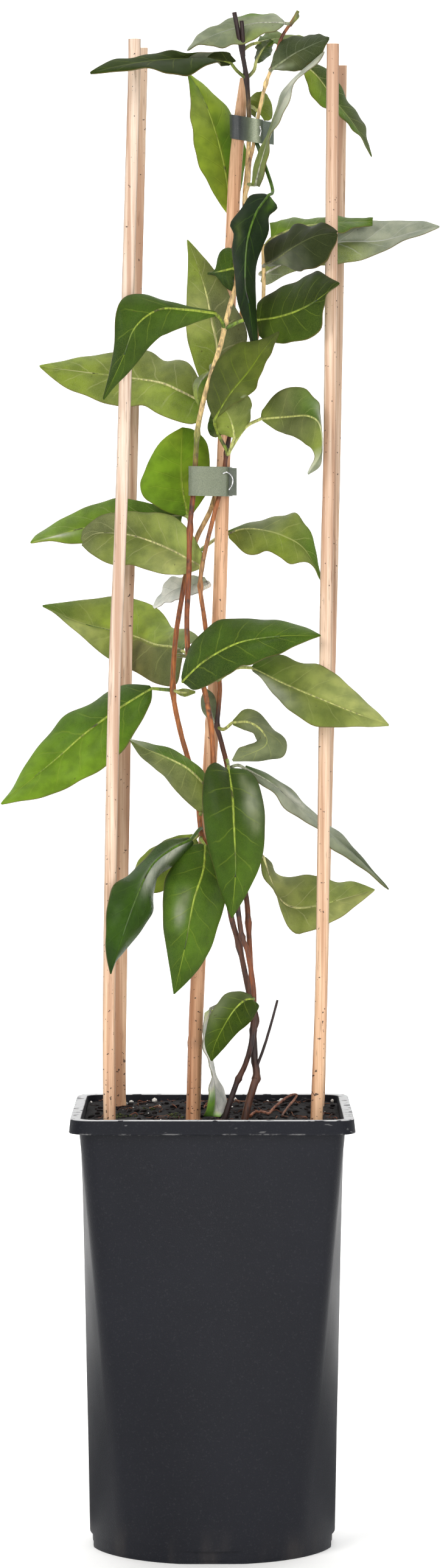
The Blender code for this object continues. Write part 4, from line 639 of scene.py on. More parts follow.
LOOKS = {
    "top": look("grey grey grey dull", "silver grey grey silver", vein="silver", far="deep", rough=0.55,
        gain=1.12, patches=[(0.3, 0.85, 0.14, "bright"), (0.35, -0.9, 0.2, "sheen")]),
    "top_right": look("grey slate slate slate", "grey dull slate slate", vein="grey", far="deep",
        rough=0.55, gain=0.66, patches=[(0.12, 0.5, 0.14, "silver"), (0.3, 0.6, 0.1, "grey")]),
    "far_right_top": look("slate deep slate slate", "lime bright leaf deep", far="silver"),
    "twisted_right": look("olive olive grey white silver", "dull olive silver white silver",
        vein="silver", far="deep", rough=0.5, gain=1.1),
    "centre_dark": look("bottle navy bottle navy", "navy navy navy bottle", vein="leaf",
        far="silver", rough=0.4, gain=0.32,
        patches=[(0.03, -0.6, 0.12, "leaf"), (0.9, -0.5, 0.2, "bottle"), (0.3, 0.6, 0.1, "slate")]),
    "right_upper": look("dull slate slate slate", "white silver slate slate", vein="dull",
        far="deep", rough=0.55, gain=0.42, patches=[(0.2, 0.6, 0.2, "grey")]),
    "right_bright": look("bright bright leaf leaf", "bright bright leaf leaf", far="silver"),
    "right_silver": look("olive grey silver silver silver", "grey olive olive silver silver",
        vein="white", far="deep", rough=0.55, gain=1.12),
    "centre_olive": look("dull dull olive dull", "olive olive olive dull", vein="backlit",
        far="deep", rough=0.6, gain=0.57,
        patches=[(0.35, 0.85, 0.02, "white"), (0.2, 0.5, 0.3, "dull")]),
    "centre_fold": look("sheen grey sheen olive", "olive leaf olive leaf", vein="grey", far="deep",
        gain=1.1),
    "centre_wing": look("slate deep slate", "slate slate dull", vein="dull", far="deep", gain=0.8),
    "centre_small": look("olive olive", "olive dull", vein="pale", far="deep", rough=0.5, gain=1.3),
    "right_curl": look("olive dull leaf slate silver", "olive dull dull olive white",
        vein="pale", far="white", gain=1.1,
        patches=[(0.7, -0.8, 0.2, "white"), (0.85, -0.6, 0.16, "silver")]),
    "left_olive": look("pale pale olive olive dull", "sheen sheen olive dull dull",
        vein="cream", far="leaf", rough=0.4, gain=1.08),
    "left_small_silver": look("white white white", "silver white white", vein="white",
        far="deep", rough=0.5, gain=1.5),
    "right_mid": look("leaf grey olive leaf deep", "olive olive backlit olive leaf", far="leaf"),
    "right_low": look("leaf olive pale pale", "grey olive olive pale", far="silver",
        patches=[(0.25, 0.8, 0.25, "silver")]),
    "centre_curl": look("olive grey grey grey grey", "olive grey grey grey grey", far="leaf",
        rough=0.5, gain=0.85),
    "centre_node": look("grey grey", "grey dull", vein="silver", far="deep", rough=0.5),
    "right_twisted_low": look("deep grey silver slate slate", "slate silver silver grey dull",
        vein="silver", far="leaf", rough=0.4, gain=1.08, patches=[(0.3, -0.3, 0.14, "white")]),
    # Its silver and grey patches are painted highlights.
    "front_hanging": look("deep bottle deep leaf deep", "bottle bottle deep deep deep",
        vein="lime", far="silver", rough=0.36, gain=0.92,
        patches=[(0.3, -0.62, 0.13, "silver"), (0.42, -0.7, 0.09, "grey"), (0.16, -0.5, 0.08, "grey")]),
    "right_low_light": look("dull pale olive sheen sheen", "olive pale olive pale pale",
        vein="cream", far="silver", rough=0.45, gain=0.92),
    "low_small": look("bottle deep leaf leaf", "grey leaf leaf leaf", vein="lime",
        far="silver", rough=0.4, gain=0.46, patches=[(0.4, 0.85, 0.25, "grey")]),
    "cane_top_light": look("leaf olive", "bright leaf", far="silver"),
    "cane_top_folded": look("bottle slate", "bottle deep", far="grey", rough=0.35),
    "left_long_top": look("slate deep deep deep leaf", "slate slate deep leaf leaf",
        vein="olive", far="silver", rough=0.6, gain=0.26,
        patches=[(0.12, 0.0, 0.1, "dull"), (0.3, 0.6, 0.1, "slate")]),
    "left_backlit": look("backlit backlit backlit olive leaf", "leaf leaf leaf backlit lime",
        vein="lime", far="silver", gain=1.45),
    "tie_rounded": look("olive backlit", "backlit olive", far="deep", rough=0.5),
    "left_dark_small": look("bottle navy", "deep bottle", vein="lime", far="silver", rough=0.3),
    "right_dark": look("leaf deep deep bottle bottle", "leaf bright leaf deep bottle",
        vein="lime", far="silver", rough=0.48, gain=0.38),
    "left_tall_light": look("lime lime pale lime lime", "dull dull dull olive lime",
        vein="cream", far="leaf", rough=0.45, gain=0.85),
    "left_folded": look("leaf leaf deep deep deep", "leaf deep deep bottle bottle",
        vein="lime", far="silver", rough=0.42, gain=0.82),
    "left_light": look("bright lime olive backlit backlit", "backlit olive olive backlit lime",
        vein="cream", far="leaf", rough=0.45),
    "left_ovate": look("leaf bright bright backlit", "bright backlit bright leaf", vein="lime",
        far="deep", rough=0.5, gain=1.3),
    # Its white patch near the tip is a painted highlight.
    "left_outer": look("bright leaf bright lime", "leaf leaf bright bright", far="silver",
        patches=[(0.85, -0.3, 0.12, "white")]),
    "left_behind_laths": look("dull dull umber olive pale leaf", "leaf olive lime lime olive leaf",
        vein="pale", far="silver", rough=0.45),
    "left_node_bit": look("olive olive", "olive olive", far="olive"),
    "left_low_big": look("deep leaf bright bright bright", "bottle deep leaf bright bright",
        vein="lime", far="silver", rough=0.4, gain=1.15),
    "left_folded_low": look("olive dull dull slate", "leaf leaf deep silver", far="deep",
        rough=0.45, gain=1.35),
    "front_dark": look("bottle deep deep leaf leaf", "bottle bottle deep deep leaf", vein="lime",
        far="silver", rough=0.42, gain=0.78),
    # Its silver and grey patches are painted highlights.
    "front_second": look("deep deep leaf leaf deep", "deep deep leaf deep deep",
        vein="lime", far="silver", rough=0.36, gain=0.95,
        patches=[(0.5, 0.4, 0.1, "silver"), (0.4, 0.3, 0.08, "grey")]),
    # Its three white patches are painted highlights.
    "left_hanging": look("deep slate deep deep deep", "slate deep deep deep bottle",
        vein="leaf", far="silver", rough=0.3, gain=0.85,
        patches=[(0.1, -0.1, 0.12, "white"), (0.24, -0.2, 0.16, "white"), (0.38, -0.2, 0.14, "white")]),
    "left_light_behind": look("olive backlit backlit", "backlit backlit olive", vein="pale",
        far="leaf"),
    "low_silver": look("olive silver silver white white white leaf",
        "grey silver white white silver leaf deep",
        vein="silver", far="leaf", rough=0.45, gain=3.5),
}

# The tones of each stem, from its first point to its last
STEM_TONES = {
    "main": "plum plum plum bark plum bark rust bark bark bark rust bark plum copper rust copper tan "
        "copper rust plum rust tan straw straw straw straw tan straw straw rust rust moss",
    "base": "plum bark bark plum bark bark",
    "bud": "bark olive grey",
    "left_shoot": "bark bark bark rust copper copper copper copper rust rust rust moss straw straw "
        "straw straw tan rust",
    "back_shoot": "bark rust bark rust copper copper copper rust tan straw tan straw tan straw plum "
        "plum",
    "pruned_tip": "plum plum",
    "dead_twig": "plum plum",
}


def held(value, low=0.0, high=1.0):
    """The value, held between low and high."""
    return min(max(value, low), high)


def hump(away, reach):
    """1 where away is nothing, and close to nothing from twice the reach on."""
    return math.exp(-((away / reach) ** 2))


def turned(radius, angle, height=0.0):
    return Vector((radius * math.cos(angle), radius * math.sin(angle), height))


def smooth_line(points, steps):
    """A Catmull-Rom curve through the points, with this many steps between each two."""
    ends = [points[0] * 2 - points[1]] + list(points) + [points[-1] * 2 - points[-2]]
    line = []
    for i in range(1, len(ends) - 2):
        a, b, c, d = ends[i - 1 : i + 3]
        for step in range(steps):
            t = step / steps
            line.append(
                0.5 * (2 * b + (c - a) * t + (2 * a - 5 * b + 4 * c - d) * t * t
                + (3 * b - a - 3 * c + d) * t ** 3)
            )
    line.append(points[-1].copy())
    return line


def seen_line(places, steps=LINE_STEPS):
    """A smooth line through places in the picture."""
    return smooth_line([seen(*place) for place in places], steps)


def spread_along(line, count):
    """This many steps of equal length along a line."""
    lengths = [0.0]
    for a, b in zip(line, line[1:]):
        lengths.append(lengths[-1] + (b - a).length)
    found, k = [], 0
    for step in range(count + 1):
        reach = lengths[-1] * step / count
        while k < len(line) - 2 and lengths[k + 1] < reach:
            k += 1
        gap = lengths[k + 1] - lengths[k]
        found.append(line[k].lerp(line[k + 1], min((reach - lengths[k]) / gap, 1) if gap else 0))
    return found


def between(values, share):
    """The value this share of the way along a list of numbers or colours, in straight steps."""
    spot = held(share) * (len(values) - 1)
    low = min(int(spot), len(values) - 2)
    a, b = values[low], values[low + 1]
    if isinstance(a, (int, float)):
        return a + (b - a) * (spot - low)
    return tuple(p + (q - p) * (spot - low) for p, q in zip(a, b))


def new_object(name, bm, *paints):
    """The mesh as a smooth-shaded object with these materials."""
    mesh = bpy.data.meshes.new(name)
    bm.to_mesh(mesh)
    bm.free()
    mesh.shade_smooth()
    for paint in paints:
        mesh.materials.append(paint)
    made = bpy.data.objects.new(name, mesh)
    bpy.context.scene.collection.objects.link(made)
    return made


def band_faces(bm, low, high):
    """Quads between two closed rows of points."""
    for i in range(len(low)):
        j = (i + 1) % len(low)
        bm.faces.new((low[i], low[j], high[j], high[i]))


def linear(tone):
    """A tone, by name or as its three numbers, as the light that Blender mixes."""
    values = TONES[tone] if isinstance(tone, str) else tone
    found = []
    for value in values:
        share = value / 255
        found.append(share / 12.92 if share <= 0.04045 else ((share + 0.055) / 1.055) ** 2.4)
    return tuple(found)


class Paint:
    """A node material. Inputs are sockets to link or plain values."""

    def __init__(self, name, **looks):
        self.made = bpy.data.materials.new(name)
        self.made.use_nodes = True
        self.tree = self.made.node_tree
        self.shader = self.tree.nodes["Principled BSDF"]
        self.show(**looks)

    def show(self, **looks):
        """Gives the shader's own inputs, by name with _ for each blank."""
        for key, value in looks.items():
            self.give(self.shader, key.replace("_", " "), value)

    def give(self, node, key, value):
        socket = node.inputs[key]
        if isinstance(value, bpy.types.NodeSocket):
            self.tree.links.new(value, socket)
        elif isinstance(value, tuple) and len(value) == 3 and socket.type == "RGBA":
            socket.default_value = (*value, 1)
        else:
            socket.default_value = value

    def node(self, kind, out, inputs=(), **settings):
        node = self.tree.nodes.new("ShaderNode" + kind)
        for key, value in settings.items():
            setattr(node, key, value)
        for key, value in dict(inputs).items():
            self.give(node, key, value)
        return node.outputs[out]

    def sum(self, operation, *values):
        return self.node("Math", 0, enumerate(values), operation=operation)

    def times(self, a, b):
        return self.sum("MULTIPLY", a, b)

    def plus(self, a, b, factor=None):
        """a + b, or a + b * factor."""
        return self.sum("ADD", a, b if factor is None else self.times(b, factor))

    def line(self, value, factor, start):
        return self.sum("MULTIPLY_ADD", value, factor, start)

    def place(self):
        return self.node("TexCoord", "Object")

    def height(self):
        return self.node("SeparateXYZ", 2, {0: self.place()})

    def stretched(self, *scale):
        return self.node("Mapping", 0, {"Vector": self.place(), "Scale": scale})

    def noise(self, scale, detail=3.0, rough=0.5, vector=None):
        inputs = {"Vector": vector or self.place(), "Scale": scale, "Detail": detail, "Roughness": rough}
        return self.node("TexNoise", 0, inputs)

    def cells(self, scale, feature="F1", vector=None):
        inputs = {"Vector": vector or self.place(), "Scale": scale}
        return self.node("TexVoronoi", 0, inputs, feature=feature)

    def span(self, value, low, high, to_low=0.0, to_high=1.0):
        """The value's place between low and high, eased and held at both ends."""
        inputs = {0: value, 1: low, 2: high, 3: to_low, 4: to_high}
        return self.node("MapRange", 0, inputs, interpolation_type="SMOOTHSTEP")

    def fall(self, value, low, high):
        """1 up to low, easing down to nothing at high."""
        return self.span(value, low, high, 1.0, 0.0)

    def mix(self, share, a, b, blend="MIX"):
        return self.node("Mix", 2, {0: share, 6: a, 7: b}, data_type="RGBA", blend_type=blend)

    def shaded(self, colour, shade):
        return self.mix(1.0, colour, shade, "MULTIPLY")

    def laid(self, colour, mask, share, tone):
        """The colour with a tone laid over it where the mask is, at most by this share."""
        return self.mix(self.times(mask, share), colour, tone)

    def attribute(self, name):
        return self.node("Attribute", "Color", attribute_name=name)

    def bump(self, height, distance, strength=1.0):
        inputs = {"Height": height, "Distance": distance, "Strength": strength}
        self.show(Normal=self.node("Bump", 0, inputs))


def leaf_paint(name, upper):
    """A leaf's skin. The upper side is glossy with sunken veins, the underside dull with raised ones."""
    coat, shine, net_share, vein_share = (0.03, 0.13, 0.16, 0.25) if upper else (0.0, 0.09, 0.22, 0.33)
    paint = Paint(name, Coat_Weight=coat, Coat_Roughness=0.2, Specular_IOR_Level=shine)
    spot = paint.node("SeparateXYZ", 0, {0: paint.node("UVMap", 0, uv_map="leaf")}).node.outputs
    along = spot[0]
    edge = paint.sum("ABSOLUTE", paint.line(spot[1], 2.0, -1.0))
    # The midrib narrows towards the tip, and the side veins lean forward and wander
    rib = paint.fall(paint.sum("DIVIDE", edge, paint.line(along, -0.04, 0.066)), 0.35, 1.0)
    lean = paint.times(paint.sum("POWER", edge, 0.8), VEIN_LEAN)
    turn = paint.times(paint.sum("SUBTRACT", along, lean), float(SIDE_VEINS))
    turn = paint.plus(turn, paint.line(paint.noise(90.0), 0.5, -0.25))
    gap = paint.sum("ABSOLUTE", paint.sum("SUBTRACT", paint.sum("FRACT", turn), 0.5))
    vein = paint.times(paint.span(gap, 0.45, 0.49), paint.fall(edge, 0.55, 0.95))
    # The net between the veins, coarse and fine
    warped = paint.mix(0.012, paint.place(), paint.node("TexNoise", 1, {"Scale": 260.0}))
    net = paint.fall(paint.cells(380.0, "DISTANCE_TO_EDGE", warped), 0.02, 0.14)
    fine = paint.fall(paint.cells(1300.0, "DISTANCE_TO_EDGE", warped), 0.02, 0.2)
    mottle = paint.noise(140.0, 5.0)
    shade = paint.mix(paint.span(mottle, 0.3, 0.7), (0.72, 0.76, 0.7), (1.22, 1.2, 1.1))
    colour = paint.shaded(paint.attribute("tone"), shade)
    vein_tone = paint.attribute("vein")
    for mask, share in ((net, net_share), (fine, 0.08), (vein, vein_share), (rib, 0.78)):
        colour = paint.laid(colour, mask, share, vein_tone)
    colour = paint.laid(colour, paint.span(edge, 0.965, 1.0), 0.55, linear((122, 104, 60)))
    specks = paint.span(paint.noise(520.0, 1.0), 0.76, 0.8)
    colour = paint.laid(colour, specks, 0.5, linear((74, 66, 36)))
    finish = paint.node("SeparateColor", 0, {0: paint.attribute("finish")})
    rough = paint.plus(finish, paint.line(paint.noise(260.0), 0.24, -0.12))
    paint.show(Base_Color=colour, Roughness=rough)
    lifted = paint.sum("MAXIMUM", rib, paint.times(vein, 0.7))
    lifted = paint.plus(paint.plus(lifted, net, 0.3), fine, 0.1)
    if upper:
        lifted = paint.times(lifted, -1.0)
    paint.bump(paint.plus(lifted, mottle, 0.5), 0.25 * MM, 0.8)
    return paint.made


def edge_line(edge, depths, behind):
    """A leaf's edge as a smooth line. Its depth follows the midrib's, moved by behind at its widest."""
    places = []
    for index, (column, row) in enumerate(edge):
        share = index / (len(edge) - 1)
        bulge = math.sin(math.pi * share) ** EDGE_FULLNESS if 0 < share < 1 else 0
        places.append((column, row, between(depths, share) + behind * bulge))
    return seen_line(places)


def relief(share, t):
    """How far the blade bends out at its midrib and each side vein, towards its underside."""
    fade = math.sin(math.pi * share) ** 0.5 if 0 < share < 1 else 0
    turn = SIDE_VEINS * (share - VEIN_LEAN * t)
    vein = hump(turn - round(turn), VEIN_REACH) * min(1, 4 * t) * (1 - t)
    return fade * (RIB_DEPTH * hump(t, RIB_REACH) + VEIN_DEPTH * vein) * MM


def fine_blade(name, leaf, phase, paints):
    """One leaf's blade as a thin closed sheet, smooth where the solid is faceted."""
    depths = [place[2] for place in leaf.midrib]
    middle = spread_along(seen_line(leaf.midrib), STATIONS)
    left = spread_along(edge_line(leaf.left, depths, leaf.behind[0]), STATIONS)
    right = spread_along(edge_line(leaf.right, depths, leaf.behind[1]), STATIONS)
    small_height, small_count, small_phase = SMALL_WAVE
    side = 1 if name in UNDERSIDES else -1
    surface, normals = [], []
    for station in range(STATIONS + 1):
        share = station / STATIONS
        a, m, b = left[station], middle[station], right[station]
        near = middle[max(station - 2, 0)], middle[min(station + 2, STATIONS)]
        normal = (near[1] - near[0]).cross(b - a)
        normal = normal.normalized() if normal.length > 1e-9 else Vector((0, -1, 0))
        if normal.y > 0:
            normal.negate()
        turn = math.tau * BLADE_WAVES * share
        wave = math.sin(turn + phase) + small_height * math.sin(small_count * turn + small_phase * phase)
        lift = BLADE_WAVE * wave * math.sin(math.pi * share)
        row = []
        for column in range(-ACROSS, ACROSS + 1):
            t = abs(column) / ACROSS
            edge = a if column < 0 else b
            wide = (edge - m).length
            rise = 4 * t * (1 - t) * BLADE_BOW * wide
            rise += lift * t * t * (1 if column < 0 else -1)
            rise += side * relief(share, t) * min(1, wide / RELIEF_START)
            row.append(m.lerp(edge, t) + normal * rise)
        surface.append(row)
        normals.append(normal)
    return blade_object(name, surface, normals, LOOKS[name], paints)


def leaf_tone(looks, share, across):
    """The photo side's colour at a place, with across from -1 on the left edge to 1 on the right."""
    halves = [between([linear(tone) for tone in half], share) for half in (looks.left, looks.right)]
    # The gain paints the leaf lighter or darker, partly as painted light and shade.
    colour = Vector(halves[0]).lerp(Vector(halves[1]), held(0.5 + 5 * across)) * looks.gain
    for along, side, size, tone in looks.patches:
        away = ((share - along) ** 2 + (0.4 * (across - side)) ** 2) / size ** 2
        colour = colour.lerp(Vector(linear(tone)), math.exp(-2 * away))
    return Vector(min(part, LIGHTEST) for part in colour)


def blade_object(name, surface, normals, looks, paints):
    """The sheet round a surface. Its photo side takes the first material slot, its far side the second.

    The map named leaf holds (share from base to tip, share from the left edge to the right), so the
    midrib lies at 0.5.
    """
    bm = bmesh.new()
    layer = bm.loops.layers.uv.new("leaf")
    colours = [bm.verts.layers.float_color.new(key) for key in ("tone", "vein", "finish")]
    across = 2 * ACROSS
    vein, far = linear(looks.vein), Vector(linear(looks.far))
    sheets = []
    for side in (1, -1):
        rows = []
        for station, (normal, row) in enumerate(zip(normals, surface)):
            made = []
            for column, point in enumerate(row):
                vert = bm.verts.new(point + normal * (SHEET_THICKNESS / 2 * side))
                here = leaf_tone(looks, station / STATIONS, column / ACROSS - 1)
                tone = here if side > 0 else far.lerp(here, FAR_SHARE)
                rough = looks.rough if side > 0 else FAR_ROUGHNESS
                for key, value in zip(colours, (tone, vein, (rough, rough, rough))):
                    vert[key] = (*value, 1)
                made.append(vert)
            rows.append(made)
        sheets.append(rows)

    def add_face(corners, slot):
        face = bm.faces.new([sheets[sheet][i][j] for sheet, i, j in corners])
        face.material_index = slot
        for loop, (_, i, j) in zip(face.loops, corners):
            loop[layer].uv = (i / STATIONS, j / across)

    for slot in (0, 1):
        for i in range(STATIONS):
            for j in range(across):
                corners = [(slot, i, j), (slot, i + 1, j), (slot, i + 1, j + 1), (slot, i, j + 1)]
                add_face(corners[::-1] if slot else corners, slot)
    rim = [(i, 0) for i in range(STATIONS + 1)] + [(STATIONS, j) for j in range(1, across + 1)]
    rim += [(i, across) for i in range(STATIONS - 1, -1, -1)]
    rim += [(0, j) for j in range(across - 1, 0, -1)]
    for here, after in zip(rim, rim[1:] + rim[:1]):
        add_face([(0, *here), (0, *after), (1, *after), (1, *here)], 0)
    bmesh.ops.recalc_face_normals(bm, faces=bm.faces)
    bmesh.ops.dissolve_degenerate(bm, edges=bm.edges, dist=THINNEST)
    return new_object(name, bm, *paints)


def swept(name, points, radii, tones, paint, sides, bumps=0.0):
    """A round tube along points, closed at both ends, with its colours in the attribute tone."""
    bm = bmesh.new()
    layer = bm.verts.layers.float_color.new("tone")
    across = None
    rings = []
    colours = [linear(tone) for tone in tones]
    for index, (point, radius) in enumerate(zip(points, radii)):
        ahead = points[min(index + 1, len(points) - 1)] - points[max(index - 1, 0)]
        ahead.normalize()
        if across is None:
            across = ahead.orthogonal().normalized()
        across = (across - ahead * across.dot(ahead)).normalized()
        other = ahead.cross(across)
        colour = between(colours, index / (len(points) - 1))
        ring = []
        for side in range(sides):
            angle = math.tau * side / sides
            out = across * math.cos(angle) + other * math.sin(angle)
            wobble = 1 + bumps * noise.noise((point + out * radius) * BUMPS_PER_METRE)
            vert = bm.verts.new(point + out * radius * wobble)
            vert[layer] = (*colour, 1)
            ring.append(vert)
        rings.append(ring)
    for low, high in zip(rings, rings[1:]):
        band_faces(bm, low, high)
    bm.faces.new(rings[0][::-1])
    bm.faces.new(rings[-1])
    return new_object(name, bm, paint)


def fine_stem(name, stem, paint):
    """A stem in fine steps, swollen at its nodes."""
    line = seen_line(stem.line, STEM_STEPS)
    radii = []
    for index, point in enumerate(line):
        radius = between(stem.radii, index / (len(line) - 1))
        for knot in stem.nodes:
            radius += NODE_SWELL * hump((point - line[knot * STEM_STEPS]).length, NODE_REACH)
        radii.append(radius * MM)
    return swept(name, line, radii, STEM_TONES[name].split(), paint, STEM_SIDES, bumps=0.12)


def nearest_on(lines, place):
    """The point of these lines that lies nearest to a place."""
    best = None
    for line in lines:
        for a, b in zip(line, line[1:]):
            point = a.lerp(b, held((place - a).dot(b - a) / (b - a).length_squared))
            if best is None or (point - place).length < (best - place).length:
                best = point
    return best


def fine_stalk(name, leaf, looks, lines, paint):
    """A leaf's stalk from the stem to the blade, which runs on under the blade as its midrib."""
    ribs = seen_line(leaf.midrib)
    stalk = [seen(*place) for place in leaf.stalk]
    stalk.insert(0, nearest_on(lines, stalk[0]))
    if (stalk[1] - stalk[0]).length < SHORTEST_STALK:
        stalk.pop(1)
    start = smooth_line(stalk + [ribs[0]], STALK_STEPS)
    reach = int(len(ribs) * RIB_SHARE)
    line = start + ribs[1:reach]
    radii = []
    for index in range(len(line)):
        if index < len(start):
            radii.append((STALK_RADIUS - STALK_TAPER * index / len(start)) * MM)
        else:
            radii.append((RIB_RADIUS - RIB_TAPER * (index - len(start)) / reach) * MM)
    tones = [looks.left[0], looks.vein, looks.vein, looks.vein, looks.left[-1]]
    return swept(name, line, radii, tones, paint, STALK_SIDES, bumps=0.05)


def stem_paint(name, rough=0.5):
    """Bark or green skin: the tone attribute with lengthwise streaks, specks and fine relief."""
    paint = Paint(name)
    streaks = paint.noise(900.0, 4.0, 0.6, paint.stretched(1.0, 1.0, 0.15))
    blots = paint.noise(160.0)
    shade = paint.mix(paint.span(streaks, 0.3, 0.7), (0.5, 0.46, 0.46), (1.4, 1.35, 1.25))
    colour = paint.shaded(paint.attribute("tone"), shade)
    dark = paint.mix(0.85, colour, (0.02, 0.012, 0.012))
    colour = paint.mix(paint.span(blots, 0.56, 0.72), colour, dark)
    paint.show(Base_Color=colour, Roughness=paint.span(streaks, 0.2, 0.8, rough - 0.12, rough + 0.15))
    paint.bump(paint.plus(streaks, blots), 0.2 * MM, 0.7)
    return paint.made


def joined(name, things):
    """The things as one object, with their materials kept."""
    bpy.ops.object.select_all(action="DESELECT")
    for thing in things:
        thing.select_set(True)
    bpy.context.view_layer.objects.active = things[0]
    if len(things) > 1:
        bpy.ops.object.join()
    piece = things[0]
    piece.name = piece.data.name = name
    return piece


def placed(thing, slot, *nodes):
    """Rides a finished piece on the body root, in the place of CAD nodes."""
    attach(thing, "root")
    if nodes:
        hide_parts(*nodes)


def ring_object(name, rings, paint, tones=None, smooth_angle=35, shares=None):
    """Quads between closed rings of points, capped at both ends, as one object with its tones.

    Each ring has a tone, and shares scale each point's tone against it, as painted shade round the ring.
    """
    bm = bmesh.new()
    layer = bm.verts.layers.float_color.new("tone")
    made = []
    for index, ring in enumerate(rings):
        colour = tones[index] if tones else (0.5, 0.5, 0.5)
        row = [bm.verts.new(point) for point in ring]
        for vert, share in zip(row, shares or [1] * len(row)):
            vert[layer] = (*(part * share for part in colour), 1)
        made.append(row)
    for low, high in zip(made, made[1:]):
        band_faces(bm, low, high)
    bm.faces.new(made[0][::-1])
    bm.faces.new(made[-1])
    return sharpened(name, bm, paint, smooth_angle)


def sharpened(name, bm, paint, angle):
    """The closed mesh as an object, with the edges sharp that turn by more than the angle."""
    bmesh.ops.recalc_face_normals(bm, faces=bm.faces)
    thing = new_object(name, bm, paint)
    thing.data.set_sharp_from_angle(angle=math.radians(angle))
    return thing


def stick_line(places, length):
    """A stick's centre line from its top, through its places, straight down into the pot."""
    line = seen_line(places, STICK_STEPS)
    foot = line[-1].copy()
    foot.xy *= FOOT_SHARE
    foot.z = line[0].z - length
    return line + [line[-1].lerp(foot, step / FOOT_STEPS) for step in range(1, FOOT_STEPS + 1)]


def lath_ring(centre, facing, grow):
    """A split lath's outline: a flat back with eased corners and a round outer face."""
    half, thick = LATH_WIDTH / 2 + grow, LATH_THICKNESS / 2 + grow
    outline = [(-0.94 * half, -thick), (0.94 * half, -thick), (half, -0.9 * thick), (half, 0.2 * thick)]
    for step in range(1, LATH_ARC):
        angle = math.pi * step / LATH_ARC
        outline.append((half * math.cos(angle), thick * (0.25 + 0.8 * math.sin(angle))))
    outline += [(-half, 0.2 * thick), (-half, -0.9 * thick)]
    return [centre + Vector((x, y * facing, 0)) for x, y in outline]


def wood_paint(name, low, high, line, grain=1.0):
    """Split bamboo or cane: fine lengthwise fibres, pores and dark specks, dirtier near the soil."""
    paint = Paint(name, Specular_IOR_Level=0.35)
    long_place = paint.stretched(1.0, 1.0, 0.02)
    fibres = paint.noise(1500.0 * grain, 6.0, 0.65, long_place)
    bands = paint.noise(320.0, vector=long_place)
    dashes = paint.noise(900.0, 2.0, vector=paint.stretched(1.0, 1.0, 0.08))
    colour = paint.mix(paint.span(fibres, 0.3, 0.7), linear(low), linear(high))
    colour = paint.laid(colour, paint.span(bands, 0.45, 0.6), 0.75, linear(line))
    colour = paint.shaded(colour, paint.attribute("tone"))
    colour = paint.laid(colour, paint.span(dashes, 0.64, 0.72), 0.35, linear((96, 58, 36)))
    low_down = paint.fall(paint.height(), SOIL_TOP, SOIL_TOP + 60 * MM)
    specks = paint.span(paint.line(low_down, 0.07, paint.noise(700.0, 1.0)), 0.72, 0.75)
    colour = paint.laid(colour, specks, 0.85, linear((44, 24, 20)))
    paint.show(Base_Color=colour, Roughness=paint.span(fibres, 0.2, 0.8, 0.42, 0.6))
    paint.bump(paint.plus(fibres, bands, 2.0), 0.12 * MM, 0.6)
    return paint.made


def stick_tones(line, nodes, low_tone):
    """How the stick darkens at its nodes, and turns warmer towards the soil."""
    found = []
    for point in line:
        shade = 1 - 0.22 * sum(hump(point.z - height, 1.2 * MM) for height in nodes)
        warm = held((SOIL_TOP + LOW_TONE_REACH - point.z) / LOW_TONE_REACH)
        found.append(tuple(shade * (1 + (part - 1) * warm) for part in low_tone))
    return found


def add_laths():
    wood = wood_paint("lath_wood", (212, 176, 146), (240, 212, 188), (182, 136, 106))
    for name, places in LATHS.items():
        line = stick_line(places, STICK_LENGTH)
        facing = -1 if "front" in name else 1
        nodes = [seen(*places[0]).z - drop * MM for drop in LATH_NODES[name]]
        rings = []
        for point in line:
            swell = LATH_SWELL * sum(hump(point.z - z, LATH_SWELL_REACH) for z in nodes)
            wobble = LATH_WOBBLE * noise.noise(point * LATH_WOBBLES_PER_METRE)
            rings.append(lath_ring(point, facing, swell + wobble))
        tint = LATH_TINTS.get(name, WHITE)
        tones = stick_tones(line, nodes, LATH_LOW_TONE)
        tones = [tuple(part * share for part, share in zip(tone, tint)) for tone in tones]
        # The lath's sides get painted shade, darker than its round face.
        placed(ring_object(name + "_wood", rings, wood, tones, shares=LATH_PAINTED_SHADE), "lath", name)


def add_cane():
    """The round cane, with a raised ring and a groove over it at each node, and its slanted tip."""
    skin = wood_paint("cane_skin", (218, 170, 132), (248, 204, 168), (188, 132, 94), 0.7)
    line = stick_line(CANE, STICK_LENGTH - CANE_TIP_LENGTH)
    line = [point for low, high in zip(line, line[1:]) for point in (low, low.lerp(high, 0.5))]
    nodes = [seen(*CANE[0]).z - drop * MM for drop in CANE_NODES]
    tip = seen(*CANE_TIP)
    top = [(tip.lerp(line[0], share), radius * MM) for share, radius in CANE_TIP_SHAPE]
    lowest, highest = line[-1].z, line[0].z
    for point in line:
        radius = between((CANE_RADIUS_LOW, CANE_RADIUS_TOP), (point.z - lowest) / (highest - lowest))
        for z in nodes:
            radius += CANE_RING * hump(point.z - z, CANE_RING_REACH)
            radius -= CANE_GROOVE * hump(point.z - z - CANE_GROOVE_RISE, CANE_GROOVE_REACH)
        top.append((point, radius))
    turns = [math.tau * i / CANE_SIDES for i in range(CANE_SIDES)]
    rings = [[centre + turned(radius, angle) for angle in turns] for centre, radius in top]
    tones = stick_tones([centre for centre, _ in top], nodes, CANE_LOW_TONE)
    placed(ring_object("cane_skin", rings, skin, tones), "cane", "cane")


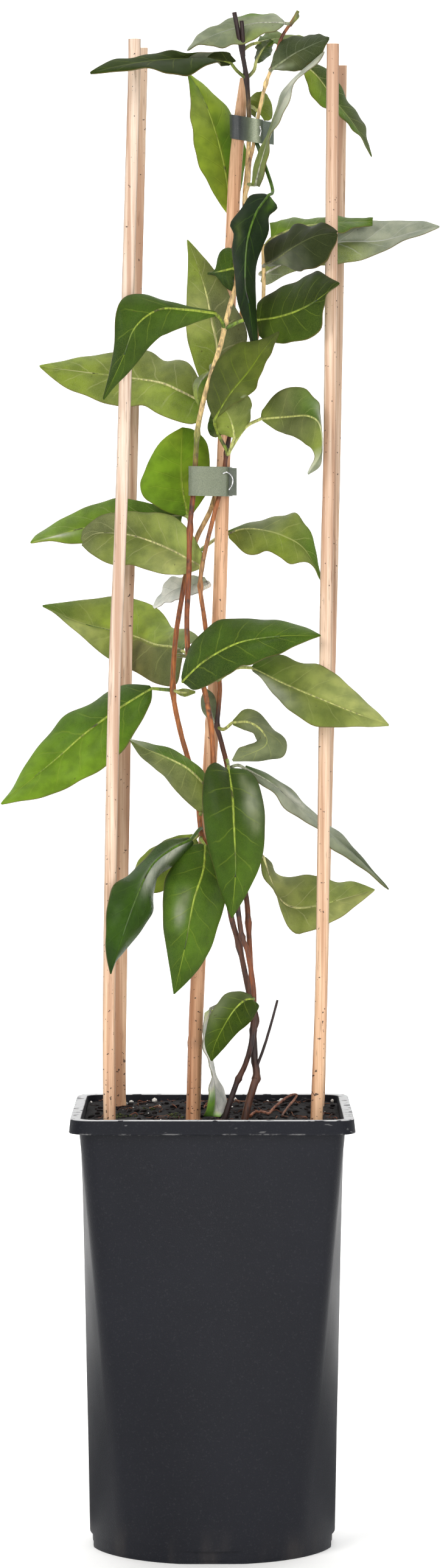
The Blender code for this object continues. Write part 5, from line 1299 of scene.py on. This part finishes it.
def tape_paint():
    """Grey-green plastic tape: a fine grain, faint lengthwise creases and a soft shine."""
    paint = Paint("tape", Specular_IOR_Level=0.5)
    grain = paint.noise(2200.0)
    creases = paint.noise(260.0, 4.0, vector=paint.stretched(0.35, 0.35, 1.6))
    shade = paint.mix(paint.span(grain, 0.3, 0.7), (0.8, 0.82, 0.8), (1.15, 1.12, 1.12))
    colour = paint.shaded(paint.attribute("tone"), shade)
    paint.show(Base_Color=colour, Roughness=paint.span(creases, 0.3, 0.7, 0.3, 0.5))
    paint.bump(paint.plus(grain, creases, 3.0), 0.15 * MM, 0.5)
    return paint.made


def tape_strip(name, centres, half_height, tones, paint, closed):
    """A strip of tape on edge along the centres, with its wrinkles, as a thin closed band."""
    count = len(centres)
    bm = bmesh.new()
    layer = bm.verts.layers.float_color.new("tone")
    colours = [linear(tone) for tone in tones]
    columns = []
    for i, point in enumerate(centres):
        after = centres[(i + 1) % count] if closed else centres[min(i + 1, count - 1)]
        before = centres[i - 1] if closed else centres[max(i - 1, 0)]
        out = Vector((after.y - before.y, before.x - after.x, 0)).normalized()
        colour = between(colours, i / (count - 1))
        column = []
        for side in (0.5, -0.5):
            for row in range(TAPE_ROWS + 1):
                spot = point + Vector((0, 0, (2 * row / TAPE_ROWS - 1) * half_height))
                crease = TAPE_CREASE * noise.noise(spot * CREASES_PER_METRE)
                vert = bm.verts.new(spot + out * (side * TIE_THICKNESS + crease))
                vert[layer] = (*colour, 1)
                column.append(vert)
        # Up the near side of the tape and down its far side
        columns.append(column[: TAPE_ROWS + 1] + column[:TAPE_ROWS:-1])
    for low, high in zip(columns, columns[1:] + columns[:1] if closed else columns[1:]):
        band_faces(bm, low, high)
    if not closed:
        for column in (columns[0], columns[-1]):
            bm.faces.new(column)
    return sharpened(name, bm, paint, angle=40)


def add_ties():
    tape = tape_paint()
    for name, tie in TIES.items():
        top, bottom = tie.rows
        start = tie.loop[0][0]

        def on_tape(column, depth):
            return seen(column, (top + bottom) / 2 + (column - start) * tie.drop, depth)

        places = [on_tape(*place) for place in tie.loop]
        loop = smooth_line(places + [places[0]], LINE_STEPS)[:-1]
        half = (bottom - top) / LENS_PIXELS * -CAMERA.y / 2
        tones = TIE_TONES_AND_HIGHLIGHT[name]
        band = tape_strip(name + "_band", loop, half, tones, tape, True)
        ends = [on_tape(column, tie.flap_depth) for column in tie.flap]
        line = [ends[0].lerp(ends[1], step / FLAP_STEPS) for step in range(FLAP_STEPS + 1)]
        flap = tape_strip(name + "_flap", line, FLAP_HEIGHT * half, tones[-2:], tape, False)
        placed(joined(name + "_tape", [band, flap]), "tape", name)
    wire = Paint("staple_wire", Metallic=1.0)
    dents = wire.noise(1800.0)
    steel = wire.mix(dents, (0.62, 0.63, 0.65), (0.92, 0.92, 0.94))
    wire.show(Base_Color=steel, Roughness=wire.span(dents, 0.3, 0.7, 0.16, 0.34))
    wire.bump(dents, 0.05 * MM)
    for name, places in STAPLES.items():
        line = seen_line(places)
        radii = [STAPLE_RADIUS] * len(line)
        placed(swept(name + "_wire", line, radii, ["white", "white"], wire.made, sides=10), "wire", name)


def square_ring(half, corner, height):
    """The points of a square with round corners: a fine arc at each corner, then the side after it."""
    centre = half - corner
    arcs = []
    for quarter in range(4):
        middle = Vector((centre * (1, -1, -1, 1)[quarter], centre * (1, 1, -1, -1)[quarter], height))
        angles = [QUARTER * (quarter + step / POT_ARC) for step in range(POT_ARC + 1)]
        arcs.append([middle + turned(corner, angle) for angle in angles])
    points = []
    for arc, following in zip(arcs, arcs[1:] + arcs[:1]):
        points += arc
        points += [arc[-1].lerp(following[0], step / POT_SIDE) for step in range(1, POT_SIDE)]
    return points


def round_ring(radius, height):
    """The points of a circle that match a square ring's, those of each corner close together."""
    angles = []
    side = QUARTER - 2 * CREASE_SPREAD
    for quarter in range(4):
        first = QUARTER * (quarter + 0.5) - CREASE_SPREAD
        last = first + 2 * CREASE_SPREAD
        angles += [first + 2 * CREASE_SPREAD * step / POT_ARC for step in range(POT_ARC + 1)]
        angles += [last + side * step / POT_SIDE for step in range(1, POT_SIDE)]
    return [turned(radius, angle, height) for angle in angles]


def pot_ring(height, inset=0.0):
    """The pot's outline at a height: square under the lip, round at the base, creased at its corners."""
    high = square_ring(POT_HALF_TOP - inset, POT_CORNER_TOP - inset, height)
    low = round_ring(POT_HALF_BASE - inset, height)
    return [a.lerp(b, height / POT_HEIGHT) for a, b in zip(low, high)]


def clipped(ring, reach=BASE_NOTCH_HALF):
    """The four flats round the pot's foot."""
    return [Vector((held(p.x, -reach, reach), held(p.y, -reach, reach), p.z)) for p in ring]


def roughened(ring, index):
    """A ring a hair out of true, as a thin moulded pot is, and in other places from the lip inwards."""
    shift = Vector((0, 0, INSIDE_SHIFT if index >= OUTSIDE_RINGS else 0))
    shares = [noise.noise(point * WAVES_PER_METRE + shift) for point in ring]
    return [p + Vector((p.x, p.y, 0)).normalized() * (OUT_OF_TRUE * share) for p, share in zip(ring, shares)]


def pot_paint():
    """Black recycled plastic: a satin moulded grain, faint flow marks, scuffs and pale worn edges."""
    paint = Paint("pot_plastic", Specular_IOR_Level=0.25)
    lip_low = POT_HEIGHT - LIP_HEIGHT
    height = paint.height()
    clouds = paint.noise(16.0, 5.0)
    flow = paint.noise(60.0, 4.0, vector=paint.stretched(1.0, 1.0, 0.25))
    colour = paint.mix(paint.span(clouds, 0.35, 0.7), (0.0036, 0.0044, 0.0088), (0.0062, 0.0072, 0.0125))
    speck = paint.span(paint.noise(1100.0, 2.0), 0.55, 0.75)
    colour = paint.laid(colour, speck, 0.3, (0.035, 0.037, 0.042))
    dust = paint.times(paint.fall(height, 0.0, 0.02), paint.span(flow, 0.5, 0.8))
    colour = paint.laid(colour, dust, 0.3, (0.1, 0.085, 0.07))
    # Worn along the lip's lower edge, and scratched over the lip's face
    near_edge = paint.sum("ABSOLUTE", paint.sum("SUBTRACT", height, lip_low))
    chips = paint.span(paint.noise(130.0, 5.0, 0.7), 0.5, 0.62)
    worn = paint.times(paint.fall(near_edge, 0.0, 0.9 * MM), chips)
    scratch = paint.noise(240.0, vector=paint.stretched(0.5, 0.5, 2.2))
    on_lip = paint.span(height, lip_low, lip_low + 1 * MM)
    scratch = paint.times(paint.span(scratch, 0.66, 0.7), paint.times(on_lip, 0.5))
    colour = paint.laid(colour, paint.sum("MAXIMUM", worn, scratch), 0.6, (0.3, 0.3, 0.3))
    # The rim's crest catches the light in ticks
    crest = paint.span(height, POT_HEIGHT - 0.3 * MM, POT_HEIGHT - 0.1 * MM)
    crest = paint.times(crest, paint.span(paint.noise(210.0, 1.0), 0.34, 0.4))
    colour = paint.laid(colour, crest, 0.75, (0.72, 0.73, 0.75))
    low_down = paint.span(height, 0.02, POT_HEIGHT - 0.04, 0.14, 0.0)
    rough = paint.plus(low_down, paint.span(clouds, 0.3, 0.7, 0.36, 0.46))
    paint.show(Base_Color=colour, Roughness=paint.line(on_lip, 0.2, rough))
    grain = paint.plus(paint.times(paint.cells(1500.0), 0.6), paint.noise(2600.0, 2.0))
    paint.bump(paint.plus(grain, flow, 2.5), 0.12 * MM, 0.55)
    return paint.made


def add_pot():
    lip_low = POT_HEIGHT - LIP_HEIGHT
    lip_out = LIP_HALF + LIP_FLARE
    rings = [clipped(pot_ring(z)) for z in NOTCH_HEIGHTS]
    rings[0] = [Vector((p.x * BASE_SHRINK, p.y * BASE_SHRINK, 0)) for p in rings[0]]
    heights = [BASE_NOTCH_HEIGHT + NOTCH_STEP] + [POT_HEIGHT * share for share in OUTSIDE_HEIGHTS]
    rings += [pot_ring(z) for z in heights + [lip_low + LIP_MARGIN, POT_HEIGHT - LIP_MARGIN]]
    # Under the lip, down its inside, round its lower edge, up its face and over its top
    for half, z in (
        (LIP_HALF - POT_WALL, POT_HEIGHT - LIP_MARGIN),
        (lip_out - POT_WALL, lip_low),
        (lip_out - LIP_EDGE, lip_low),
        (lip_out, lip_low + LIP_EDGE),
        (LIP_HALF, POT_HEIGHT - LIP_EDGE),
        (LIP_HALF - LIP_EDGE, POT_HEIGHT),
    ):
        rings.append(square_ring(half, LIP_CORNER, z))
    rings.append(pot_ring(POT_HEIGHT, POT_WALL - LIP_EDGE))
    heights = [POT_HEIGHT - LIP_EDGE, lip_low] + [POT_HEIGHT * share for share in INSIDE_HEIGHTS]
    rings += [pot_ring(z, POT_WALL) for z in heights + [POT_FLOOR]]
    rings = [roughened(ring, index) for index, ring in enumerate(rings)]
    pot = ring_object("pot_shell", rings, pot_paint(), smooth_angle=30)
    for index in range(DRAIN_COUNT):
        bpy.ops.mesh.primitive_cylinder_add(vertices=DRAIN_SIDES, radius=DRAIN_RADIUS, depth=4 * POT_FLOOR,
            location=turned(DRAIN_CIRCLE, math.tau * index / DRAIN_COUNT))
        cutter = bpy.context.object
        cut = pot.modifiers.new("drain", "BOOLEAN")
        cut.object = cutter
        cut.operation = "DIFFERENCE"
        bpy.context.view_layer.objects.active = pot
        bpy.ops.object.modifier_apply(modifier=cut.name)
        bpy.data.objects.remove(cutter, do_unlink=True)
    placed(pot, "pot", "pot")


def soil_height(x, y):
    """The compost's surface, as in the part's source: lumpy, with a low rise behind the middle."""
    place = Vector((x, y, 0))
    lumps = noise.noise(place * LUMPS_PER_METRE[0]) * LUMP_SHARES[0]
    lumps += noise.noise(place * LUMPS_PER_METRE[1] + LUMP_SHIFT) * LUMP_SHARES[1]
    hill = HILL_HEIGHT * math.exp(-((x / HILL_REACH) ** 2 + ((y - HILL_REACH) / HILL_REACH) ** 2))
    return SOIL_TOP + hill + SOIL_RELIEF * lumps


def crumbled(x, y):
    """The compost's surface with its crumbs, which rises towards the back."""
    place = Vector((x, y, 0))
    crumbs = sum(noise.noise(place * n) * share for n, share in zip(CRUMBS_PER_METRE, CRUMB_SHARES))
    back = held(y / BACK_REACH)
    return soil_height(x, y) + CRUMB_RISE * crumbs + BACK_RISE * back * back * (3 - 2 * back)


def compost_paint(name, low, high, scale=900.0):
    paint = Paint(name, Roughness=0.9, Specular_IOR_Level=0.25)
    grains = paint.cells(scale)
    blots = paint.noise(scale * 0.4, 5.0, 0.65)
    colour = paint.mix(paint.span(blots, 0.35, 0.7), linear(low), linear(high))
    # Painted shade darkens the gaps between the grains.
    dark = paint.shaded(colour, (0.45, 0.42, 0.42))
    paint.show(Base_Color=paint.mix(paint.span(grains, 0.25, 0.6), colour, dark))
    paint.bump(paint.plus(blots, grains, -0.7), 0.5 * MM, 0.9)
    return paint.made


def crumb(bm, centre, size, flat, rng):
    """A lump with its own shape: a small round stone of faces, pushed about."""
    start = len(bm.verts)
    bmesh.ops.create_icosphere(bm, subdivisions=1, radius=1.0)
    bm.verts.ensure_lookup_table()
    turn = Vector((rng.random(), rng.random(), rng.random()))
    stretch = Vector((1 + rng.random(), 0.6 + 0.6 * rng.random(), flat)) * size
    angle = math.tau * rng.random()
    for vert in bm.verts[start:]:
        p = vert.co * (1 + 0.45 * noise.noise(vert.co * 1.3 + turn * 9)) * stretch
        tip = p.z + 0.5 * (turn.x - 0.5) * p.x
        vert.co = centre + Vector((p.x * math.cos(angle) - p.y * math.sin(angle),
            p.x * math.sin(angle) + p.y * math.cos(angle), tip))


def scattered(rng, count):
    """Places anywhere on the compost, each found only when it is asked for."""
    reach = POT_HALF_TOP - POT_WALL - EDGE_MARGIN
    for _ in range(count):
        x, y = rng.uniform(-reach, reach), rng.uniform(-reach, reach)
        yield x, y, crumbled(x, y)


def add_lumps(name, places, sizes, flat, paint, rng):
    """Crumbs of these sizes at these places, as one object."""
    bm = bmesh.new()
    for (x, y, z), size in zip(places, sizes):
        crumb(bm, Vector((x, y, z + CRUMB_LIFT * size)), size, flat, rng)
    return new_object(name, bm, paint)


def on_soil(column, row):
    """The place on the compost that a place in the picture sees."""
    near, far = seen(column, row, -60), seen(column, row, 60)
    spot = near.lerp(far, held((SOIL_TOP - near.z) / (far.z - near.z), 0.02, 0.98))
    return spot.x, spot.y


def fibre_paint():
    paint = Paint("fibre_brown", Roughness=0.85)
    shade = paint.mix(paint.noise(700.0), (0.5, 0.5, 0.5), (1.5, 1.4, 1.3))
    paint.show(Base_Color=paint.shaded(paint.attribute("tone"), shade))
    return paint.made


def perlite_paint():
    paint = Paint("perlite_white", Roughness=0.8)
    pores = paint.noise(1500.0, 4.0)
    paint.show(Base_Color=paint.mix(pores, (0.6, 0.57, 0.52), (0.95, 0.94, 0.9)))
    paint.bump(pores, 0.3 * MM, 0.8)
    return paint.made


def add_fibres(rng, paint):
    """Thin roots and bits of fibre that lie over the compost."""
    limit = POT_HALF_TOP - POT_WALL - FIBRE_MARGIN
    threads = []
    for x, y, z in scattered(rng, FIBRES):
        angle = math.tau * rng.random()
        ahead = turned(rng.uniform(*FIBRE_LENGTH) * MM, angle)
        line = [Vector((x, y, z))]
        for step in range(1, 5):
            spot = Vector((x, y, 0)) + ahead * (step / 4 - 0.1 * rng.random())
            spot.xy = held(spot.x, -limit, limit), held(spot.y, -limit, limit)
            spot.z = crumbled(spot.x, spot.y) + rng.uniform(*FIBRE_RISE) * MM
            line.append(spot)
        radii = [rng.uniform(*FIBRE_RADIUS) * MM]
        line = smooth_line(line, 2)
        tone = rng.choice(FIBRE_TONES)
        threads.append(swept("thread", line, radii * len(line), [tone, tone], paint, sides=5, bumps=0.2))
    return threads


def add_soil():
    """The compost and, on it, bark chips with fibres, grains of perlite and tufts of moss."""
    rng = random.Random(SEED)
    inset = POT_WALL + GAP
    rings = [pot_ring(height, inset) for height in (POT_FLOOR + GAP, *SOIL_SIDE_HEIGHTS)]
    rim = pot_ring(SOIL_TOP, inset)
    for step in range(SOIL_FINE_RINGS):
        spots = [(p.x * (1 - step / SOIL_FINE_RINGS), p.y * (1 - step / SOIL_FINE_RINGS)) for p in rim]
        rings.append([Vector((x, y, crumbled(x, y))) for x, y in spots])
    earth = compost_paint("compost_earth", (7, 5, 6), (24, 17, 19))
    placed(ring_object("compost", rings, earth), "soil", "soil")
    bark = compost_paint("compost_bark", (13, 9, 11), (46, 34, 33), 500.0)
    sizes = [rng.uniform(*CHIP_SIZE) * MM for _ in range(CHIPS)]
    chips = add_lumps("chips", scattered(rng, CHIPS), sizes, 0.55, bark, rng)
    placed(joined("compost_litter", [chips] + add_fibres(rng, fibre_paint())), "soil")
    places, sizes = [], []
    for column, row, size in PERLITE:
        x, y = on_soil(column, row)
        places.append((x, y, crumbled(x, y) + 0.3 * MM))
        sizes.append(PERLITE_GROWTH * size * MM)
    for x, y, z in scattered(rng, FINE_GRAINS):
        places.append((x, y, z + 0.1 * MM))
        sizes.append(rng.uniform(*FINE_GRAIN_SIZE) * MM)
    placed(add_lumps("perlite", places, sizes, 0.9, perlite_paint(), rng), "soil")
    places, sizes = [], []
    for column, row, spread, count in MOSS:
        x, y = on_soil(column, row)
        for _ in range(count):
            dx, dy = rng.gauss(0, spread * MM), rng.gauss(0, spread * MM)
            places.append((x + dx, y + dy, crumbled(x + dx, y + dy) + 0.2 * MM))
            sizes.append(rng.uniform(*TUFT_SIZE) * MM)
    moss = compost_paint("moss_green", (40, 48, 28), (112, 124, 70), 1400.0)
    placed(add_lumps("moss", places, sizes, 0.8, moss, rng), "soil")


def add_dry_root():
    """A dead root that lies on the compost and arches up from it in one loop."""
    line = seen_line(DRY_ROOT)
    for point in line:
        point.z = max(point.z, crumbled(point.x, point.y) + DRY_ROOT_RADIUS + GAP)
    radii = [DRY_ROOT_RADIUS * (1.15 - 0.3 * i / len(line)) for i in range(len(line))]
    paint = stem_paint("dry_root_skin", 0.8)
    tones = ["rust", (150, 106, 88), (128, 86, 72), (160, 116, 98), "bark"]
    root = swept("dry_root_fine", line, radii, tones, paint, sides=10, bumps=0.25)
    placed(root, "root", "dry_root")


def add_camera():
    """The photograph's view: level with the leaves, tipped down a little."""
    camera = bpy.data.objects.new("camera", bpy.data.cameras.new("camera"))
    bpy.context.scene.collection.objects.link(camera)
    camera.location = CAMERA
    camera.rotation_euler = (QUARTER - CAMERA_PITCH, 0, 0)
    camera.data.sensor_fit = "AUTO"
    camera.data.sensor_width = SENSOR
    camera.data.lens = LENS_PIXELS * SENSOR / PICTURE_HEIGHT
    camera.data.clip_end = VIEW_REACH
    bpy.context.scene.camera = camera


def add_light(name, place, target, size, power, tint):
    data = bpy.data.lights.new(name, "AREA")
    data.shape = "RECTANGLE"
    data.size, data.size_y = size
    data.energy = power
    data.color = tint
    light = bpy.data.objects.new(name, data)
    bpy.context.scene.collection.objects.link(light)
    light.location = place
    light.rotation_euler = (Vector(target) - Vector(place)).to_track_quat("-Z", "Y").to_euler()


def floor_paint():
    """Near white, a little lit of itself, and see-through from behind, so that it hides no back view."""
    paint = Paint("floor_white", Roughness=0.75, Emission_Color=WHITE,
        Emission_Strength=FLOOR_GLOW)
    grain = paint.noise(60.0, 4.0)
    paint.show(Base_Color=paint.mix(grain, (0.88, 0.88, 0.875), (0.92, 0.92, 0.915)))
    through = paint.node("BsdfTransparent", 0)
    behind = paint.node("NewGeometry", "Backfacing")
    both = paint.node("MixShader", 0, {0: behind, 1: paint.shader.outputs[0], 2: through})
    paint.give(paint.tree.nodes["Material Output"], "Surface", both)
    return paint.made


def add_floor():
    """A plain pale floor that curves up behind into a backdrop."""
    outline = [(FLOOR_FRONT, 0.0), (FLOOR_BACK, 0.0)]
    for step in range(1, BACKDROP_STEPS + 1):
        angle = QUARTER * step / BACKDROP_STEPS
        outline.append((FLOOR_BACK + BACKDROP_CURVE * math.sin(angle),
            BACKDROP_CURVE - BACKDROP_CURVE * math.cos(angle)))
    outline.append((FLOOR_BACK + BACKDROP_CURVE, BACKDROP_TOP))
    bm = bmesh.new()
    rows = [[bm.verts.new((x, y, z)) for x in (-FLOOR_HALF, FLOOR_HALF)] for y, z in outline]
    for low, high in zip(rows, rows[1:]):
        bm.faces.new((low[0], low[1], high[1], high[0]))
    new_object("floor", bm, floor_paint())


def add_card(side):
    """A black card on the floor beside and behind the pot, which only its shine shows."""
    (near, far), (front, back) = CARD_ACROSS, CARD_BACK
    corners = [(near, front), (far, front), (far, back), (near, back)]
    bm = bmesh.new()
    bm.faces.new([bm.verts.new((side * x, y, 1 * MM)) for x, y in corners])
    black = Paint("card_black", Base_Color=(0.01, 0.01, 0.01), Roughness=1.0)
    card = new_object("card_left" if side < 0 else "card_right", bm, black.made)
    card.visible_camera = card.visible_diffuse = card.visible_shadow = False


def add_studio_world():
    """Dim where the camera stands and bright behind the plant, as in a studio with a white backdrop."""
    world = bpy.data.worlds.new("studio")
    bpy.context.scene.world = world
    world.use_nodes = True
    nodes, links = world.node_tree.nodes, world.node_tree.links
    place = nodes.new("ShaderNodeTexCoord")
    parts = nodes.new("ShaderNodeSeparateXYZ")
    ramp = nodes.new("ShaderNodeMapRange")
    ramp.interpolation_type = "SMOOTHSTEP"
    for key, value in WORLD_RAMP.items():
        ramp.inputs[key].default_value = value
    links.new(place.outputs["Generated"], parts.inputs[0])
    links.new(parts.outputs[1], ramp.inputs[0])
    links.new(ramp.outputs[0], nodes["Background"].inputs[1])


def add_stage():
    add_floor()
    for side in (-1, 1):
        add_card(side)
    for name, light in LIGHTS.items():
        add_light(name, *light)
    add_studio_world()
    bpy.context.scene.view_settings.view_transform = "Standard"


def add_shoot(side, stems, leaves, paints):
    """A leafy stem: its stems and stalks as one piece, and its leaves as a high and a low one."""
    upper, under, bark, skin = paints
    stem_lines = [[seen(*place) for place in stem.line] for stem in stems.values()]
    woody = [fine_stem(name, stem, bark) for name, stem in stems.items()]
    groups = {"high": [], "low": []}
    for index, (name, leaf) in enumerate(leaves.items()):
        faces = (under, upper) if name in UNDERSIDES else (upper, under)
        blade = fine_blade(name, leaf, index * LEAF_PHASE, faces)
        groups["low" if name in LOW_LEAVES else "high"].append(blade)
        woody.append(fine_stalk(name + "_stalk", leaf, LOOKS[name], stem_lines, skin))
    node = "leafy_stem_" + side
    for height, blades in groups.items():
        placed(joined(f"leaves_{side}_{height}", blades), "plant", node)
    placed(joined(f"stems_{side}", woody), "plant", node)


def main():
    add_camera()
    add_stage()
    paints = (leaf_paint("leaf_upper", True), leaf_paint("leaf_underside", False),
        stem_paint("bark"), stem_paint("green_skin", 0.45))
    add_pot()
    add_soil()
    add_laths()
    add_cane()
    add_ties()
    add_dry_root()
    add_shoot("left", STEMS_A, LEAVES_A, paints)
    add_shoot("right", STEMS_B, LEAVES_B, paints)


main()
